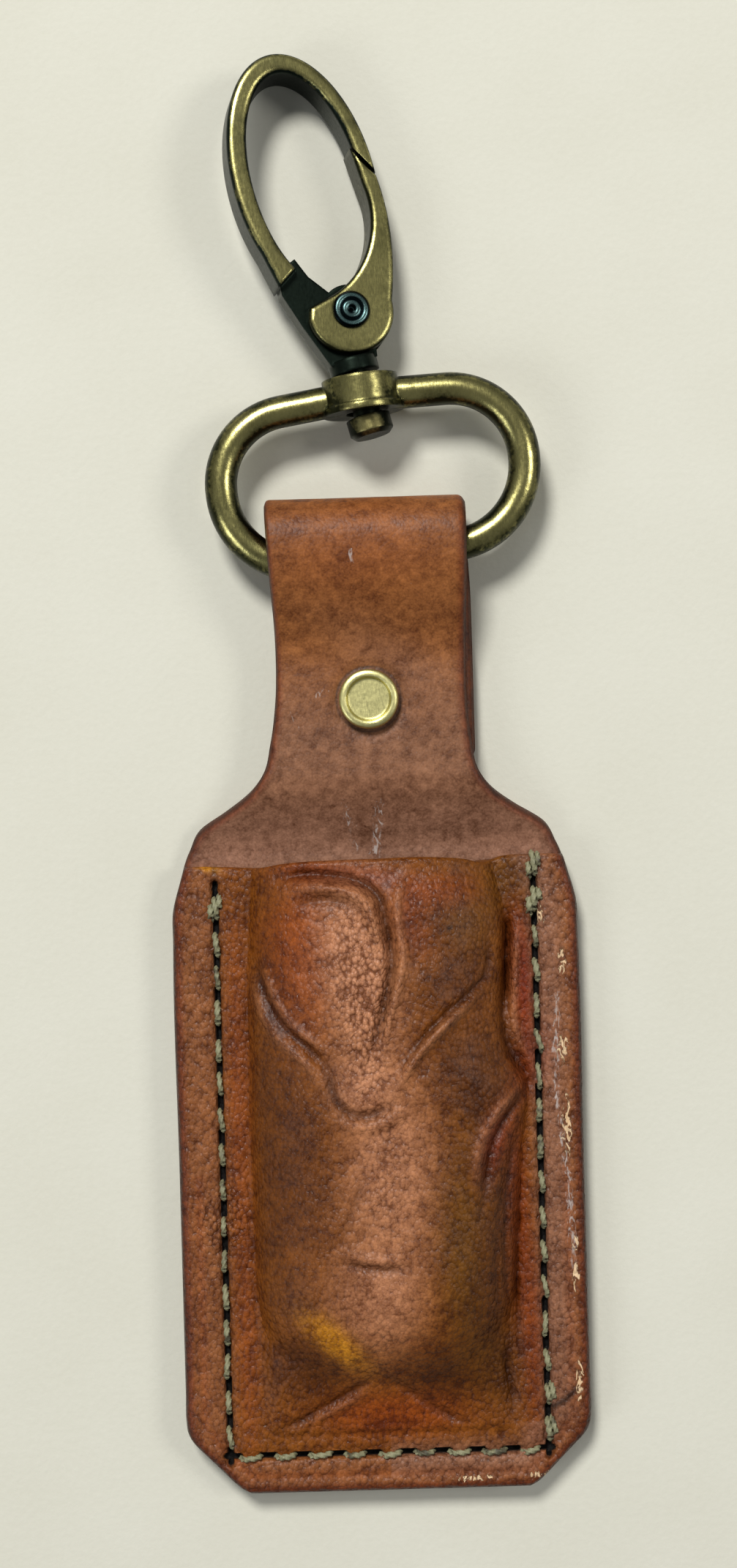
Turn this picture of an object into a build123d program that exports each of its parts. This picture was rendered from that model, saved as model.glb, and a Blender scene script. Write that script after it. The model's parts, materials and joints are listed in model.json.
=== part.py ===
from build123d import *
from math import atan2, cos, degrees, floor, radians, sin, sqrt
import os

# Leather key-fob holster with a swivel snap hook.
#
# The holster lies on its back. X runs across it to the right, Y runs up its
# length towards the hook, and Z points out of its front. The origin is on the
# back face, in the middle of the pouch. Millimetres and degrees.

# ---- Leather ----
back_thickness = 2.2      # back panel, strap and fold, one strip of leather
front_thickness = 2.0     # moulded pocket front
layer_gap = 0.05          # between the strap's two layers, and behind the rivet
table_gap = 0.1           # keeps the metal off what the holster lies on

# ---- Pouch outline ----
pouch_width = 47.9
pouch_bottom = -38.0
mouth_y = 36.8
corner_cut = 6.9          # leg of each clipped bottom corner
corner_radius = 4.0
shoulder_y = 32.8         # where the straight sides end
shoulder_in = 2.9         # how far the shoulder's knee stands in from the side
knee_y = 40.4
shoulder_radius = 5.0
knee_radius = 4.5
neck_y = 45.4             # where the shoulders meet the strap
neck_radius = 7.0

# ---- Strap ----
strap_width = 23.8
fold_y = 79.2             # outside of the fold
tail_end_y = 47.5
lift_lead = 1.9           # the strap has finished rising this far before the tail's end
fold_corner_gap = 0.05    # keeps the two quarter turns of the fold apart
lift_slope = 26.6         # rise from the pouch to the strap, from flat
lift_radius = 6.0
flare_radius = 12.0       # bends where the two layers part to form the loop
loop_start_y = 61.8       # the layers part here
loop_full_y = 71.3        # and are parallel again from here to the fold

# ---- Rivet ----
rivet_y = 55.5
cap_diameter = 7.0
cap_height = 1.5
cap_dish = 0.55
cap_rim = 0.85
rear_cap_height = 0.9
post_diameter = 2.4
post_clearance = 0.05
post_grip = 0.45          # how far the post reaches into the front cap
cap_edge_share = 0.6      # edge radius as a share of the rim or of the rear cap's height
dish_taper = 20.0         # slope of the dish's wall

# ---- Ring ----
wire_diameter = 3.8
ring_inner_width = 32.0
ring_height = 18.9        # from the lower wire's centre to the collar's centre
ring_lower_radius = 9.4
ring_upper_radius = 8.6
ring_arm_drop = 1.0       # the upper arms fall this far from the collar outwards
ring_x = 2.3              # middle of the ring's lower wire
ring_y = 72.4
ring_lean = 6.4           # the ring lies turned anticlockwise by this
ring_pivot_rise = 0.7     # turning axis above the lower wire's centre
ring_clearance = 0.2      # between the wire and the leather as the ring swings
sweep_margin = 0.5        # the swept space runs this far past the strap's edge

# ---- Collar ----
collar_diameter = 9.0
collar_rim_diameter = 9.6
collar_rim_height = 0.8
collar_lip = 0.15         # the collar stands this far past the wire, above and below
collar_bore = 4.3

# ---- Swivel pin ----
shank_diameter = 3.2
pin_head_diameter = 5.2
pin_head_height = 2.3
pin_head_chamfer = 0.5
pin_grip = 1.3            # length of shank held in the hook's neck
swivel_gap = 0.6          # end play at each side of the collar

# ---- Hook ----
hook_lean = 14.2          # stem anticlockwise from the holster's length
hook_pitch = -1.5
hook_roll = 11.0          # left flank up
hook_depth = 5.3
neck_diameter = 5.8
neck_height = 1.6
loop_centre = (0.0, 26.0)
loop_half_width = 8.5
loop_half_length = 15.2
eye_centre = (0.2, 25.8)
eye_half_width = 6.35
eye_half_length = 13.0
hook_edge_radius = 0.7
web_thickness = 2.8
shoulder_outer = Vector(-6.3, 14.4)   # the loop's left branch ends on this line
shoulder_inner = Vector(-3.3, 16.4)
shoulder_filler = [(-4.6, 19.0), (-7.6, 19.5)]
shoulder_overlap = 0.2
cut_outer_reach = 4.0     # how far the cut under the loop runs past the shoulder line
cut_inner_reach = 2.0
cut_half_width = 12.0
cut_bottom = 8.0
web_left = [(-6.0, 16.2), (-6.2, 13.4), (-4.8, 9.1), (-3.8, 6.5)]
web_neck_half = 2.8
web_neck_overlap = 0.4
web_right = (3.2, 6.6)
web_low_knee = (0.6, 1.0)     # inset from the boss's edge, and how far under the pivot
web_high_knee = (1.4, 1.6)    # the same, over the pivot
web_top = [(-0.7, 12.4), (-2.6, 14.8), (-3.6, 17.2)]
boss_inset = 0.5

# ---- Gate ----
pivot_x = 1.0
pivot_y = 9.6
palm_radius = 5.15
palm_wall = 1.2
gate_web_clearance = 0.1
lap_gap = 0.2
gate_edge_radius = 0.6
lap_inner = Vector(6.25, 28.35)       # the gate's tip meets the loop's nose on this line
lap_outer = Vector(8.45, 24.5)
nose_inner_reach = 1.6
nose_outer_reach = 0.6
gate_back = [(8.55, 21.0), (7.95, 15.8)]
gate_shoulder = [(-3.7, 11.0), (-0.8, 11.8)]
gate_front = [(3.6, 14.5), (5.9, 18.2), (6.55, 23.6)]
gate_slot_outline = [
    (-8.0, 3.0),
    (3.2, 3.0),
    (4.2, 7.0),
    (4.2, 12.0),
    (3.4, 14.2),
    (1.5, 14.9),
    (-8.0, 14.9),
]

# ---- Gate pivot rivet ----
gate_pin_diameter = 2.0
gate_pin_clearance = 0.05
gate_head_diameter = 4.3
gate_head_height = 0.45
gate_head_chamfer = 0.2
gate_head_hole = 0.9
gate_head_hole_depth = 0.9

# ---- Gate spring ----
spring_wire = 0.36
spring_radius = 1.5
spring_turns = 2.25
spring_start = 230.0      # where the coil starts, from the hook's X axis
spring_pitch_gap = 0.02   # between two turns
spring_pocket_clearance = 0.2
spring_web_leg = 4.4
spring_gate_leg = 3.1

# ---- Stitching ----
thread_diameter = 0.75
thread_bend_share = 0.6   # radius of the thread's bends as a share of its diameter
stitch_pitch = 4.18
stitch_side_inset = 5.15  # from the pouch's side to the stitch line
stitch_end_inset = 4.6    # from the pouch's bottom edge
awl_length = 2.0
awl_width = 0.95
leg_gap = 0.1             # between two neighbouring stitches in one hole
thread_sink = 0.25        # how deep the thread lies in the front leather
corner_stitch_gap = 0.3   # keeps the bottom row's end legs off the side rows'
groove_clearance = 0.08   # round the thread in its grooves

# ---- Moulded bulge: share of the pocket's length from its bottom, inner width, inner height ----
bulge_stations = [
    (0.119, 25.6, 0.9),
    (0.167, 27.0, 4.2),
    (0.247, 27.4, 6.9),
    (0.374, 27.4, 8.0),
    (0.642, 27.4, 8.0),
    (0.802, 27.2, 7.2),
    (0.916, 26.4, 5.8),
    (1.0, 25.4, 4.8),
]
bulge_corner = 0.42       # corner radius as a share of the bulge's height
bulge_draft = 0.22        # how far each side leans in, for each unit of height
mouth_overrun = 3.0

os.makedirs("parts", exist_ok=True)

# ---- Sizes worked out from the ones above ----
half_pouch = pouch_width / 2
half_strap = strap_width / 2
wire_radius = wire_diameter / 2
ring_half_width = (ring_inner_width + wire_diameter) / 2
loop_half_height = ring_pivot_rise + wire_radius + ring_clearance
loop_half_height = max(loop_half_height, collar_rim_diameter / 2 + table_gap - back_thickness)
ring_z = loop_half_height + back_thickness
tail_z = rear_cap_height + table_gap + layer_gap
strap_z = tail_z + back_thickness + layer_gap
strap_top = strap_z + back_thickness
flange_top = back_thickness + front_thickness
rise = strap_z / sin(radians(lift_slope)) * cos(radians(lift_slope))
lift_top_y = tail_end_y - lift_lead
hook_half = hook_depth / 2
collar_height = wire_diameter + 2 * collar_lip
neck_bottom = collar_height / 2 + swivel_gap
neck_top = neck_bottom + neck_height
stitch_x = half_pouch - stitch_side_inset
stitch_y = pouch_bottom + stitch_end_inset
left_stitches = floor((mouth_y - stitch_y) / stitch_pitch)
right_stitches = left_stitches + 1        # the right row ends one stitch above the mouth
bottom_stitches = round(2 * stitch_x / stitch_pitch)
pocket_length = mouth_y - pouch_bottom
last_slot_y = mouth_y + leg_gap / 2 + thread_diameter   # a leg above this is past the mouth


def offset_points(points, shift):
    """Moves a polyline sideways by shift, to its left, keeping its corners mitred."""
    moved = []
    last = len(points) - 1
    for index, point in enumerate(points):
        here = Vector(*point)
        before = here - Vector(*points[index - 1]) if index > 0 else None
        after = Vector(*points[index + 1]) - here if index < last else None
        before = (before or after).normalized()
        after = (after or before).normalized()
        left_before = Vector(-before.Y, before.X)
        left_after = Vector(-after.Y, after.X)
        mitre = (left_before + left_after) / (1 + left_before.dot(left_after))
        moved.append(here + mitre * shift)
    return moved


def turn_sides(points):
    """Gives +1 for each inner corner that turns left and -1 for one that turns right."""
    sides = []
    for first, middle, last in zip(points, points[1:], points[2:]):
        cross = (Vector(*middle) - Vector(*first)).cross(Vector(*last) - Vector(*middle))
        sides.append(1 if cross.Z > 0 else -1)
    return sides


def pouch_points():
    """Right half of the plan outline with its corner radii, from the bottom to the strap."""
    points = [
        (half_pouch - corner_cut, pouch_bottom),
        (half_pouch, pouch_bottom + corner_cut),
        (half_pouch, shoulder_y),
        (half_pouch - shoulder_in, knee_y),
        (half_strap, neck_y),
    ]
    radii = [corner_radius, corner_radius, shoulder_radius, knee_radius, neck_radius]
    return points, radii


# ---- Planes of the ring and the hook ----
ring_frame = Plane(Location((ring_x, ring_y, ring_z), (0, 0, ring_lean)))
collar_centre = ring_frame.from_local_coords(Vector(0, ring_height, 0))
hook_location = Location(collar_centre)
hook_location = hook_location * Rotation(0, 0, hook_lean)
hook_location = hook_location * Rotation(hook_pitch, 0, 0)
hook_location = hook_location * Rotation(0, hook_roll, 0)
hook_frame = Plane(hook_location)


def across(frame, x, y):
    """A plane square to the frame's Y axis, at a point in the frame."""
    centre = frame.from_local_coords(Vector(x, y, 0))
    return Plane(origin=centre, x_dir=frame.x_dir, z_dir=frame.y_dir)


def raised(frame, height):
    """The frame's own plane, moved along its Z axis."""
    return frame.offset(height)


# ---- Back panel: pouch back, strap, fold and tail in one strip ----
mid = back_thickness / 2
strip = [
    (pouch_bottom, mid),
    (lift_top_y - rise, mid),
    (lift_top_y, strap_z + mid),
    (loop_start_y, strap_z + mid),
    (loop_full_y, ring_z + loop_half_height + mid),
    (fold_y - mid, ring_z + loop_half_height + mid),
    (fold_y - mid, mid),
    (loop_full_y, mid),
    (loop_start_y, tail_z + mid),
    (tail_end_y, tail_z + mid),
]
fold_radius = loop_half_height + mid - fold_corner_gap
strip_radii = [lift_radius, lift_radius, flare_radius, flare_radius]
strip_radii = strip_radii + [fold_radius, fold_radius, flare_radius, flare_radius]
sides = turn_sides(strip)
left_radii = [r - s * mid for r, s in zip(strip_radii, sides)]
right_radii = [r + s * mid for r, s in zip(strip_radii, sides)]
outline, outline_radii = pouch_points()

# Each awl slot is centred between two stitches of its row.
left_holes = [(-stitch_x, stitch_y + n * stitch_pitch) for n in range(left_stitches + 1)]
right_holes = [(stitch_x, stitch_y + n * stitch_pitch) for n in range(right_stitches + 1)]
bottom_x = stitch_x - corner_stitch_gap
bottom_gap = 2 * bottom_x / bottom_stitches
bottom_holes = [(n * bottom_gap - bottom_x, stitch_y) for n in range(bottom_stitches + 1)]
side_holes = left_holes + right_holes



def groove_rows():
    """Draws the groove under the stitch rows in the current sketch."""
    left_row = left_stitches * stitch_pitch
    right_row = right_stitches * stitch_pitch
    with Locations((-stitch_x, stitch_y + left_row / 2)):
        SlotOverall(left_row + awl_length, awl_width, rotation=90)
    with Locations((stitch_x, stitch_y + right_row / 2)):
        SlotOverall(right_row + awl_length, awl_width, rotation=90)
    with Locations((0, stitch_y)):
        SlotOverall(2 * bottom_x + awl_length, awl_width)


# The wire sweeps this half section about the ring's turning axis.
sweep_reach = half_strap + abs(ring_x) + sweep_margin
inner_arc = ring_lower_radius - wire_radius - ring_clearance
arc_start = ring_half_width - ring_lower_radius
arc_rise = ring_lower_radius - ring_pivot_rise
arc_end = sweep_reach - arc_start
low_wire = ring_pivot_rise + wire_radius + ring_clearance
arc_x = arc_start + sqrt(inner_arc**2 - (arc_rise - low_wire) ** 2)

with BuildPart() as ring_sweep:
    with BuildSketch(ring_frame) as sweep_profile:
        with BuildLine():
            arc_top = arc_rise - sqrt(inner_arc**2 - arc_end**2)
            arc_mid_x = (arc_x + sweep_reach) / 2
            arc_mid = arc_rise - sqrt(inner_arc**2 - (arc_mid_x - arc_start) ** 2)
            base = ring_pivot_rise
            Line((-sweep_reach, base), (sweep_reach, base))
            Line((sweep_reach, base), (sweep_reach, base + arc_top))
            ThreePointArc(
                (sweep_reach, base + arc_top),
                (arc_mid_x, base + arc_mid),
                (arc_x, base + low_wire),
            )
            Line((arc_x, base + low_wire), (-arc_x, base + low_wire))
            ThreePointArc(
                (-arc_x, base + low_wire),
                (-arc_mid_x, base + arc_mid),
                (-sweep_reach, base + arc_top),
            )
            Line((-sweep_reach, base + arc_top), (-sweep_reach, base))
        make_face()
    pivot_point = ring_frame.from_local_coords(Vector(0, ring_pivot_rise, 0))
    revolve(axis=Axis(pivot_point, ring_frame.x_dir))

with BuildPart() as back_panel:
    with BuildSketch(Plane.YZ) as side_view:
        with BuildLine():
            left_line = FilletPolyline(*offset_points(strip, mid), radius=left_radii)
            right_line = FilletPolyline(*offset_points(strip, -mid), radius=right_radii)
            Line(left_line @ 0, right_line @ 0)
            Line(left_line @ 1, right_line @ 1)
        make_face()
    extrude(amount=pouch_width, both=True)
    with BuildSketch(Plane.XY) as plan_view:
        with BuildLine():
            start = (0, pouch_bottom)
            top = (half_strap, fold_y)
            FilletPolyline(start, *outline, top, (0, fold_y), radius=outline_radii + [0])
            Line((0, fold_y), start)
        make_face()
        mirror(about=Plane.YZ)
    extrude(amount=2 * ring_z, mode=Mode.INTERSECT)
    add(ring_sweep.part, mode=Mode.SUBTRACT)
    with BuildSketch(Plane.XY) as rivet_hole:
        with Locations((0, rivet_y)):
            Circle(post_diameter / 2 + post_clearance)
    extrude(amount=strap_top, mode=Mode.SUBTRACT)
    with BuildSketch(Plane.XY) as side_slots:
        with Locations(*side_holes):
            SlotOverall(awl_length, awl_width, rotation=90)
    extrude(amount=flange_top, mode=Mode.SUBTRACT)
    with BuildSketch(Plane.XY) as bottom_slots:
        with Locations(*bottom_holes):
            SlotOverall(awl_length, awl_width)
    extrude(amount=flange_top, mode=Mode.SUBTRACT)
    # A groove along the back keeps the thread below the leather's face.
    with BuildSketch(Plane.XY) as back_groove:
        groove_rows()
    extrude(amount=thread_diameter + 2 * groove_clearance, mode=Mode.SUBTRACT)
back_panel.part.label = "back_panel"
export_step(back_panel.part, "parts/back_panel.step")


# ---- Pocket front: stitched flange round a wet-moulded bulge ----
def bulge_points(width, height, below):
    """Half-open loaf section, wide at its foot and leaning in towards its top."""
    lean = height * bulge_draft
    half = width / 2
    return [(half, -below), (half - lean, height), (lean - half, height), (-half, -below)]


def bulge_sections(grow, below):
    """Stations of the bulge as (y, points, corner radius), grown by a wall thickness."""
    sections = []
    for share, width, height in bulge_stations:
        y = pouch_bottom + share * pocket_length
        tall = height + grow
        points = bulge_points(width + 2 * grow, tall, below)
        sections.append((y, points, tall * bulge_corner))
    return sections


def section_face(points, corner):
    """Draws one bulge section in the current line builder."""
    top = FilletPolyline(*points, radius=corner)
    Line(top @ 0, top @ 1)


outer_sections = bulge_sections(front_thickness, 0)
inner_sections = bulge_sections(0, back_thickness / 2)
first_y, first_points, first_corner = outer_sections[0]
outer_sections[0] = (first_y - front_thickness, first_points, first_corner)
last_y, last_points, last_corner = inner_sections[-1]

with BuildPart() as bulge_outer:
    for y, points, corner in outer_sections:
        with BuildSketch(Plane((0, y, back_thickness), x_dir=(1, 0, 0), z_dir=(0, -1, 0))):
            with BuildLine():
                section_face(points, corner)
            make_face()
    loft()

with BuildPart() as bulge_inner:
    for y, points, corner in inner_sections:
        with BuildSketch(Plane((0, y, back_thickness), x_dir=(1, 0, 0), z_dir=(0, -1, 0))):
            with BuildLine():
                section_face(points, corner)
            make_face()
    loft()
    mouth_plane = Plane((0, last_y, back_thickness), x_dir=(1, 0, 0), z_dir=(0, 1, 0))
    with BuildSketch(mouth_plane) as mouth_section:
        with BuildLine():
            section_face([(-x, z) for x, z in last_points], last_corner)
        make_face()
    extrude(amount=mouth_overrun)

with BuildPart() as pocket_front:
    with BuildSketch(Plane.XY.offset(back_thickness)) as flange:
        with BuildLine():
            start = (0, pouch_bottom)
            FilletPolyline(start, *outline, (half_strap, fold_y), (0, fold_y),
                           radius=outline_radii + [0])
            Line((0, fold_y), start)
        make_face()
        mirror(about=Plane.YZ)
        with Locations((0, mouth_y + pouch_width)):
            Rectangle(2 * pouch_width, 2 * pouch_width, mode=Mode.SUBTRACT)
    extrude(amount=front_thickness)
    add(bulge_outer.part)
    add(bulge_inner.part, mode=Mode.SUBTRACT)
    with BuildSketch(Plane.XY.offset(back_thickness)) as front_side_slots:
        with Locations(*[hole for hole in side_holes if hole[1] < last_slot_y]):
            SlotOverall(awl_length, awl_width, rotation=90)
    extrude(amount=front_thickness, mode=Mode.SUBTRACT)
    with BuildSketch(Plane.XY.offset(back_thickness)) as front_bottom_slots:
        with Locations(*bottom_holes):
            SlotOverall(awl_length, awl_width)
    extrude(amount=front_thickness, mode=Mode.SUBTRACT)
    with BuildSketch(Plane.XY.offset(flange_top)) as front_groove:
        groove_rows()
    extrude(amount=-thread_sink - groove_clearance, mode=Mode.SUBTRACT)
pocket_front.part.label = "pocket_front"
export_step(pocket_front.part, "parts/pocket_front.step")


# ---- Stitching: one closed loop of waxed thread for each stitch ----
def stitch_path(gap, lies_at):
    """Corners of one stitch, seen from the side of its row, between two holes."""
    half = gap / 2 - leg_gap / 2 - thread_diameter / 2
    low = groove_clearance + thread_diameter / 2
    high = lies_at + thread_diameter / 2 - thread_sink
    return [(-half, low), (half, low), (half, high), (-half, high)]


def stitch_solid(gap, lies_at):
    """One stitch, with its row along X and its middle over the origin."""
    corners = stitch_path(gap, lies_at)
    with BuildPart(mode=Mode.PRIVATE) as stitch:
        with BuildLine(Plane.XZ):
            loop = FilletPolyline(*corners, radius=thread_diameter * thread_bend_share, close=True)
        start = Plane(origin=loop @ 0, z_dir=loop % 0)
        with BuildSketch(start):
            Circle(thread_diameter / 2)
        sweep()
    return stitch.part


side_stitch = stitch_solid(stitch_pitch, flange_top)
bottom_stitch = stitch_solid(bottom_gap, flange_top)
side_middles = [stitch_y + (n + 0.5) * stitch_pitch for n in range(right_stitches)]
bottom_middles = [(n + 0.5) * bottom_gap - bottom_x for n in range(bottom_stitches)]

with BuildPart() as stitching_left:
    with Locations(*[(-stitch_x, y) for y in side_middles[:left_stitches]]):
        add(side_stitch, rotation=(0, 0, 90))
stitching_left.part.label = "stitching_left"
export_step(stitching_left.part, "parts/stitching_left.step")

with BuildPart() as stitching_bottom:
    with Locations(*[(x, stitch_y) for x in bottom_middles]):
        add(bottom_stitch)
stitching_bottom.part.label = "stitching_bottom"
export_step(stitching_bottom.part, "parts/stitching_bottom.step")

with BuildPart() as stitching_right:
    with Locations(*[(stitch_x, y) for y in side_middles]):
        add(side_stitch, rotation=(0, 0, 90))
stitching_right.part.label = "stitching_right"
export_step(stitching_right.part, "parts/stitching_right.step")

# ---- Strap rivet: a dished front cap pressed onto a post with a rear cap ----
cap_top = strap_top + cap_height
with BuildPart() as rivet_cap:
    with BuildSketch(Plane.XY.offset(strap_top)):
        with Locations((0, rivet_y)):
            Circle(cap_diameter / 2)
    extrude(amount=cap_height)
    fillet(rivet_cap.edges().sort_by(Axis.Z)[-1], radius=cap_rim * cap_edge_share)
    with BuildSketch(Plane.XY.offset(cap_top)):
        with Locations((0, rivet_y)):
            Circle(cap_diameter / 2 - cap_rim)
    extrude(amount=-cap_dish, taper=dish_taper, mode=Mode.SUBTRACT)
    with BuildSketch(Plane.XY.offset(strap_top)):
        with Locations((0, rivet_y)):
            Circle(post_diameter / 2)
    extrude(amount=post_grip, mode=Mode.SUBTRACT)
rivet_cap.part.label = "rivet_cap"
export_step(rivet_cap.part, "parts/rivet_cap.step")

with BuildPart() as rivet_post:
    with BuildSketch(Plane.XY.offset(table_gap)):
        with Locations((0, rivet_y)):
            Circle(cap_diameter / 2)
    extrude(amount=rear_cap_height)
    fillet(rivet_post.edges().sort_by(Axis.Z)[0], radius=rear_cap_height * cap_edge_share)
    with BuildSketch(Plane.XY.offset(table_gap)):
        with Locations((0, rivet_y)):
            Circle(post_diameter / 2)
    extrude(amount=strap_top + post_grip - table_gap)
rivet_post.part.label = "rivet_post"
export_step(rivet_post.part, "parts/rivet_post.step")

# ---- Ring: bent wire with a collar for the hook's stem ----
arm_x = ring_half_width
arm_y = ring_height - ring_arm_drop
with BuildPart() as swivel_ring:
    with BuildLine(ring_frame) as ring_line:
        FilletPolyline(
            (0, 0),
            (arm_x, 0),
            (arm_x, arm_y),
            (0, ring_height),
            (-arm_x, arm_y),
            (-arm_x, 0),
            radius=[0, ring_lower_radius, ring_upper_radius, 0, ring_upper_radius, ring_lower_radius],
            close=True,
        )
    wire_start = ring_frame.from_local_coords(Vector(0, 0, 0))
    with BuildSketch(Plane(origin=wire_start, z_dir=ring_frame.x_dir)):
        Circle(wire_radius)
    sweep(transition=Transition.RIGHT)
    with BuildSketch(across(ring_frame, 0, ring_height - collar_height / 2)):
        Circle(collar_diameter / 2)
    extrude(amount=collar_height)
    with BuildSketch(across(ring_frame, 0, ring_height - collar_height / 2)):
        Circle(collar_rim_diameter / 2)
    extrude(amount=collar_rim_height)
    with BuildSketch(across(ring_frame, 0, ring_height - collar_height)):
        Circle(collar_bore / 2)
    extrude(amount=2 * collar_height, mode=Mode.SUBTRACT)
swivel_ring.part.label = "swivel_ring"
export_step(swivel_ring.part, "parts/swivel_ring.step")

# ---- Swivel pin: a headed shank held in the hook's neck ----
with BuildPart() as swivel_pin:
    with BuildSketch(across(hook_frame, 0, -neck_bottom - pin_head_height)):
        Circle(pin_head_diameter / 2)
    extrude(amount=pin_head_height)
    rims = swivel_pin.edges().filter_by(GeomType.CIRCLE)
    chamfer(rims.sort_by(Axis(hook_frame.origin, hook_frame.y_dir))[0], pin_head_chamfer)
    with BuildSketch(across(hook_frame, 0, -neck_bottom)):
        Circle(shank_diameter / 2)
    extrude(amount=2 * neck_bottom + pin_grip)
swivel_pin.part.label = "swivel_pin"
export_step(swivel_pin.part, "parts/swivel_pin.step")

# ---- Hook body: loop, shoulder, web and neck ----
pivot = Vector(pivot_x, pivot_y)
lap_along = (lap_outer - lap_inner).normalized()
lap_normal = Vector(-lap_along.Y, lap_along.X)
nose_inner = lap_inner + lap_normal * lap_gap - lap_along * nose_inner_reach
nose_outer = lap_outer + lap_normal * lap_gap + lap_along * nose_outer_reach
shoulder_along = (shoulder_inner - shoulder_outer).normalized()
web_half = web_thickness / 2
coil_pitch = spring_wire + spring_pitch_gap
coil_height = spring_turns * coil_pitch
pocket_half = (coil_height + spring_wire) / 2 + spring_pocket_clearance
spring_room = spring_wire + 2 * spring_pocket_clearance
coil_at = Location((pivot_x, pivot_y, -coil_height / 2), (0, 0, spring_start))
coil_curve = Helix(pitch=coil_pitch, height=coil_height, radius=spring_radius)
coil_curve = hook_frame.location * coil_at * coil_curve
web_leg_along = (coil_curve % 0) * -1
gate_leg_along = coil_curve % 1
leg_ends = [
    (coil_curve @ 0, web_leg_along, spring_web_leg),
    (coil_curve @ 1, gate_leg_along, spring_gate_leg),
]
boss_radius = palm_radius - palm_wall - gate_web_clearance
low_knee = (pivot_x + boss_radius - web_low_knee[0], pivot_y - web_low_knee[1])
high_knee = (pivot_x + boss_radius - web_high_knee[0], pivot_y + web_high_knee[1])


def leg_channel(foot, along, length):
    """Draws the channel that one spring leg lies in, in the current sketch."""
    start = hook_frame.to_local_coords(foot)
    end = hook_frame.to_local_coords(foot + along * length)
    slope = degrees(atan2(end.Y - start.Y, end.X - start.X))
    with Locations(((start.X + end.X) / 2, (start.Y + end.Y) / 2)):
        SlotCenterToCenter((end - start).length, spring_room, rotation=slope)


with BuildPart() as hook_body:
    with BuildSketch(raised(hook_frame, -hook_half)) as hook_loop:
        with Locations(loop_centre):
            Ellipse(loop_half_width, loop_half_length)
        with BuildLine():
            Polyline(
                shoulder_outer - shoulder_along * shoulder_overlap,
                shoulder_inner,
                *shoulder_filler,
                close=True,
            )
        make_face()
        with Locations(eye_centre):
            Ellipse(eye_half_width, eye_half_length, mode=Mode.SUBTRACT)
        with BuildLine():
            Polyline(
                nose_inner,
                nose_outer,
                (cut_half_width, nose_outer.Y),
                (cut_half_width, cut_bottom),
                (-cut_half_width, cut_bottom),
                shoulder_outer - shoulder_along * cut_outer_reach,
                shoulder_inner + shoulder_along * cut_inner_reach,
                close=True,
            )
        make_face(mode=Mode.SUBTRACT)
    extrude(amount=hook_depth)
    face_edges = hook_body.edges().filter_by(GeomType.LINE, reverse=True)
    fillet(face_edges, hook_edge_radius)
    with BuildSketch(raised(hook_frame, -web_half)) as web:
        with BuildLine():
            Polyline(
                *web_left,
                (-web_neck_half, neck_top - web_neck_overlap),
                (web_neck_half, neck_top - web_neck_overlap),
                web_right,
                low_knee,
                high_knee,
                *web_top,
                close=True,
            )
        make_face()
        with Locations(pivot):
            Circle(boss_radius - boss_inset)
    extrude(amount=web_thickness)
    with BuildSketch(across(hook_frame, 0, neck_bottom)):
        Circle(neck_diameter / 2)
    extrude(amount=neck_height)
    with BuildSketch(raised(hook_frame, -pocket_half)) as spring_pocket:
        with Locations(pivot):
            Circle(spring_radius + spring_wire / 2 + spring_pocket_clearance)
        for foot, along, length in leg_ends:
            leg_channel(foot, along, length)
    extrude(amount=2 * pocket_half, mode=Mode.SUBTRACT)
    with BuildSketch(raised(hook_frame, -hook_depth)) as pivot_hole:
        with Locations(pivot):
            Circle(gate_pin_diameter / 2)
    extrude(amount=2 * hook_depth, mode=Mode.SUBTRACT)
    with BuildSketch(across(hook_frame, 0, 0)):
        Circle(shank_diameter / 2)
    extrude(amount=neck_bottom + pin_grip, mode=Mode.SUBTRACT)
hook_body.part.label = "hook_body"
export_step(hook_body.part, "parts/hook_body.step")

# ---- Gate: a lever with two cheeks that straddle the hook's web ----
gate_half = web_half + gate_web_clearance
palm_right = pivot + Vector(palm_radius, 0)
palm_low = pivot + Vector(0, -palm_radius)
palm_left = pivot + Vector(-palm_radius, 0)
slot_radius = palm_radius - palm_wall
with BuildPart() as gate_lever:
    with BuildSketch(raised(hook_frame, -hook_half)) as gate_outline:
        with BuildLine():
            Line(lap_inner, lap_outer)
            Spline(lap_outer, *gate_back, palm_right)
            ThreePointArc(palm_right, palm_low, palm_left)
            Polyline(palm_left, *gate_shoulder)
            Spline(gate_shoulder[-1], *gate_front)
            Line(gate_front[-1], lap_inner)
        make_face()
    extrude(amount=hook_depth)
    gate_faces = gate_lever.faces().sort_by(Axis(hook_frame.origin, hook_frame.z_dir))
    fillet(gate_faces[0].edges() + gate_faces[-1].edges(), gate_edge_radius)
    with BuildSketch(raised(hook_frame, -gate_half)) as gate_slot:
        with Locations(pivot):
            Circle(slot_radius)
        with BuildLine():
            Polyline(*gate_slot_outline, close=True)
        make_face()
    extrude(amount=2 * gate_half, mode=Mode.SUBTRACT)
    with BuildSketch(raised(hook_frame, -hook_depth)) as gate_hole:
        with Locations(pivot):
            Circle(gate_pin_diameter / 2 + gate_pin_clearance)
    extrude(amount=2 * hook_depth, mode=Mode.SUBTRACT)
gate_lever.part.label = "gate_lever"
export_step(gate_lever.part, "parts/gate_lever.step")

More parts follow.
